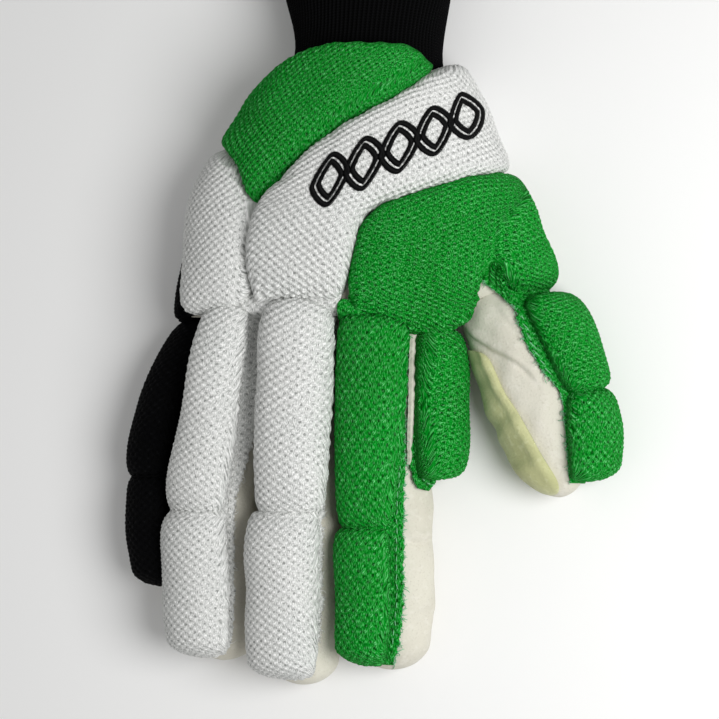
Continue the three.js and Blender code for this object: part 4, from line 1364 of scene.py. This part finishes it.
def makeStall(name, mouth):
    # a hollow finger: the inside from the tip to the mouth, then the outside back to the tip,
    # softly dented
    tube = tubes[name]
    fine = name in creases
    steps = leather["fineAround" if fine else "around"]
    inner, _ = ringGrid(tube, stallStations(tube, mouth, leatherWall, 4), -leatherWall, leatherWall, steps)
    y = stallStations(tube, mouth, 0, leather["step"] * (leather["fineStep"] if fine else 1))
    outer, s = ringGrid(tube, y, 0, 0, steps)
    places = np.stack(np.broadcast_arrays(s, y[:, None]), axis=-1)
    dent = leather["dent"] * ripple(outer * [1, 0.6, 1], leather["fingerDentSize"], len(name))
    dent = dent * smooth(0, 8, mouth - y)[:, None]
    points = np.concatenate([inner[::-1], dented(outer, dent + creaseDepth(name, places))])
    return makePiece(name + "_leather", points, skinFaces(*points.shape[:2]), "suede_leather")


def cutAway(piece, spaces):
    # Boolean differences with closed tubes of rings, applied one after the other
    for points in spaces:
        mesh = bpy.data.meshes.new("space")
        mesh.from_pydata((points.reshape(-1, 3) * mm).tolist(), [], skinFaces(*points.shape[:2]))
        space = bpy.data.objects.new("space", mesh)
        scene.collection.objects.link(space)
        orient(space)
        cut = piece.modifiers.new("cut", "BOOLEAN")
        cut.operation = "DIFFERENCE"
        cut.solver = "EXACT"
        cut.object = space
        bpy.context.view_layer.update()
        solid = bpy.data.meshes.new_from_object(piece.evaluated_get(bpy.context.evaluated_depsgraph_get()))
        piece.modifiers.clear()
        piece.data = solid
        bpy.data.objects.remove(space)
    piece.data.polygons.foreach_set("use_smooth", np.ones(len(piece.data.polygons), bool))


def makeLeather():
    # the fingers, the hand with holes to them, and the thumb less the space of the hand
    end, knuckles, coarse = leather["end"], leather["knuckles"], leather["coarseAround"]
    fingers = ("index", "middle", "ring", "little")
    for name in fingers:
        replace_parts(makeStall(name, knuckles - leather["seam"]), name + "_stall")
    hand = tubes["hand"]
    outer, _ = ringGrid(hand, np.linspace(end, knuckles, leather["rings"]), 0)
    outer = dented(outer, leather["dent"] * ripple(outer, leather["dentSize"], 3))
    inside = np.linspace(knuckles + leatherWall, end, leather["innerRings"])
    inner, _ = ringGrid(hand, inside, -leatherWall)
    # closed at the knuckles by two flat faces, and at the wrist from the inside to the outside
    rings = np.concatenate([outer, inner])
    rows, columns = rings.shape[:2]
    front = (len(outer) - 1) * columns
    body = quads(rows, columns, wrap=True, closed=True)
    body = body[body[:, 0] // columns != len(outer) - 1]
    ring = np.arange(columns)
    faces = body.tolist() + [(front + ring).tolist(), (front + columns + ring[::-1]).tolist()]
    palm = makePiece("palm_leather", rings, faces, "suede_leather")
    holes = []
    for name in fingers:
        lift = -leather["littleHole"] if name == "little" else -leatherWall
        holes.append(ringGrid(tubes[name], np.array(leather["holeStations"]), lift, 0, coarse)[0])
    thumbStations = np.array(leather["thumbStations"], float)
    holes.append(ringGrid(tubes["thumb"], thumbStations, -leatherWall, 0, coarse)[0])
    cutAway(palm, holes)
    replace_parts(palm, "palm_shell")
    thumb = makeStall("thumb", thumbStations[0])
    handStations = np.array([*leather["handStations"], knuckles])
    cutAway(thumb, [ringGrid(hand, handStations, -leather["handInset"])[0]])
    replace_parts(thumb, "thumb_stall")


makeLeather()
print("leather made")

thumbPatch = {
    "tube": "thumb",
    "crown": 0.3,
    "lift": 0.45,
    "rise": 0.9,       # from the seam to the face, mm
    "step": 0.6,
    "ridge": 0.8,      # rolled edge on the side of the leather, and where it is, from -1 to 1
    "ridgeAt": 0.84,
    "ridgeWidth": 0.12,
    "folds": 0.45,     # height of the soft folds, their size, and the share that s counts for them
    "foldSize": 7,
    "foldStretch": 0.35,
    "uneven": 0.25,
    "unevenSize": 12,
    "outline": {
        "upper": [[-36, -43], [-27, -44], [-17.5, -44.6], [-9.5, -46.2]],
        "right": [[3.4, -91.4], [1.4, -86], [-1.4, -78.7], [-3.2, -72], [-5.2, -65.5], [-7.8, -59.1],
                  [-9, -52.9], [-9.5, -46.2]],
        "lower": [[-29, -87], [-20, -90], [-8, -91.8], [3.4, -91.4]],
        "left": [[-29, -87], [-34, -66], [-36, -43]],
    },
}


def makePatch():
    # a thin pillow on the side of the thumb, close to the leather, with a rolled edge and soft folds
    patch = thumbPatch
    shape = padShape(patch, patch["step"])
    plan, dome = shape["plan"], shape["dome"]
    edge = smooth(0, 0.5, dome)
    toRidge = (patch["ridgeAt"] - shape["u"]) / patch["ridgeWidth"]
    lift = patch["lift"] + patch["rise"] * smooth(0, 0.3, dome)
    lift += patch["uneven"] * ripple(plan, patch["unevenSize"], 9)
    lift += patch["ridge"] * np.exp(-(toRidge**2)) * edge
    folds = ripple(plan * [patch["foldStretch"], 1], patch["foldSize"], 31)
    lift += patch["folds"] * edge * folds
    points = skinPoints(tubes["thumb"], plan[..., 0], plan[..., 1], lift)
    _, faces, points = closePad(patch, shape, points)
    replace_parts(makePiece("thumb_patch_suede", points, faces, "thumb_patch"), "thumb_palm_patch")


makePatch()


def makeCuff():
    # the tube of the hand carried on: ribs of height * cos(2 pi s / rib)^power outside, plain inside,
    # joined by a round folded edge at the top
    tube, hem = tubes["hand"], cuff["hem"]
    _, _, _, _, right, height, side, _ = sectionAt(tube, np.array([70.0]))
    ribs = round(2 * float(sum(arcsOf(right, height, side)[2:])[0]) / cuff["rib"])
    y = np.linspace(cuff["start"], cuff["end"] - hem, cuff["rows"])
    base, _ = ringGrid(tube, y, 0, 0, cuff["around"])
    turn = np.linspace(0, 1, ribs * cuff["samples"], endpoint=False)
    rings = []
    for ring in base:
        closed = np.concatenate([ring, ring[:1]])
        length = walkAlong(closed)
        rings.append(placesAt(turn * length[-1], length, closed))
    outer = np.stack(rings)
    middle = outer.mean(axis=1, keepdims=True)
    away = unit(np.cross(np.roll(outer, -1, 1) - np.roll(outer, 1, 1), [0, 1, 0]))
    away *= np.sign((away * (outer - middle)).sum(axis=-1, keepdims=True).mean())
    wave = np.cos(2 * np.pi * turn * ribs)
    rib = (cuff["ribHeight"] * np.sign(wave) * np.abs(wave) ** cuff["ribPower"])[:, None]
    uneven = cuff["uneven"] * ripple(outer, cuff["unevenSize"], 5)[..., None]
    rings = [outer + away * (rib + uneven)]
    for angle in np.linspace(0, np.pi, 9)[1:-1]:
        out = rib * np.cos(angle / 2) - hem * (1 - np.cos(angle))
        rings.append(outer[-1:] + away[-1:] * out + [0, hem * np.sin(angle), 0])
    rings.append(outer[::-4] - away[::-4] * cuff["wall"])
    rings = np.concatenate(rings)
    faces = quads(*rings.shape[:2], wrap=True, closed=True)
    uv = np.stack(np.broadcast_arrays(turn * ribs * cuff["rib"], rings[..., 1]), axis=-1)
    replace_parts(makePiece("wrist_cuff_knit", rings, faces.tolist(), "cuff_knit", uv), "wrist_cuff")


makeCuff()
print("patch and cuff made")

# Floor, light and camera

studio = {
    "target": (14.4, -47.4, 25),
    "view": (0.24, -0.08, 0.967),
    "distance": 600,
    "lens": 91.63,
    "floor": linear(243, 243, 242),
    "floorReach": 1600,
    "world": 0.36,
    "key": {"place": (400, -120, 480), "size": 360, "power": 3.2},
    "fill": {"place": (-420, -260, 420), "size": 520, "power": 0.15},
}


def makeStudio():
    # the camera looks at the target from that distance along view; below is a floor, above two lamps
    target = Vector(studio["target"]) * mm
    back = Vector(studio["view"]).normalized()
    camera = bpy.data.cameras.new("camera")
    camera.lens = studio["lens"]
    seat = bpy.data.objects.new("camera", camera)
    seat.location = target + back * studio["distance"] * mm
    right = Vector((0, 1, 0)).cross(back).normalized()
    seat.rotation_euler = Matrix((right, back.cross(right), back)).transposed().to_euler()
    scene.collection.objects.link(seat)
    scene.camera = seat
    mesh = bpy.data.meshes.new("floor")
    reach, low = studio["floorReach"] * mm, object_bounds()[0].z
    corners = [(x * reach, y * reach, low) for x, y in ((-1, -1), (1, -1), (1, 1), (-1, 1))]
    mesh.from_pydata(corners, [], [(0, 1, 2, 3)])
    floor = bpy.data.objects.new("floor", mesh)
    scene.collection.objects.link(floor)
    paper, _, shader = newMaterial("floor")
    shader["Base Color"].default_value = studio["floor"]
    shader["Roughness"].default_value = 0.9
    mesh.materials.append(paper)
    for name in ("key", "fill"):
        row = studio[name]
        lamp = bpy.data.lights.new(name, "AREA")
        lamp.shape = "DISK"
        lamp.size = row["size"] * mm
        lamp.energy = row["power"]
        holder = bpy.data.objects.new(name, lamp)
        holder.location = Vector(row["place"]) * mm
        holder.rotation_euler = (target - holder.location).to_track_quat("-Z", "Y").to_euler()
        scene.collection.objects.link(holder)
    world = bpy.data.worlds.new("studio")
    world.use_nodes = True
    background = world.node_tree.nodes["Background"].inputs
    background["Color"].default_value = (1, 1, 1, 1)
    background["Strength"].default_value = studio["world"]
    scene.world = world
    scene.view_settings.view_transform = "Standard"


makeStudio()
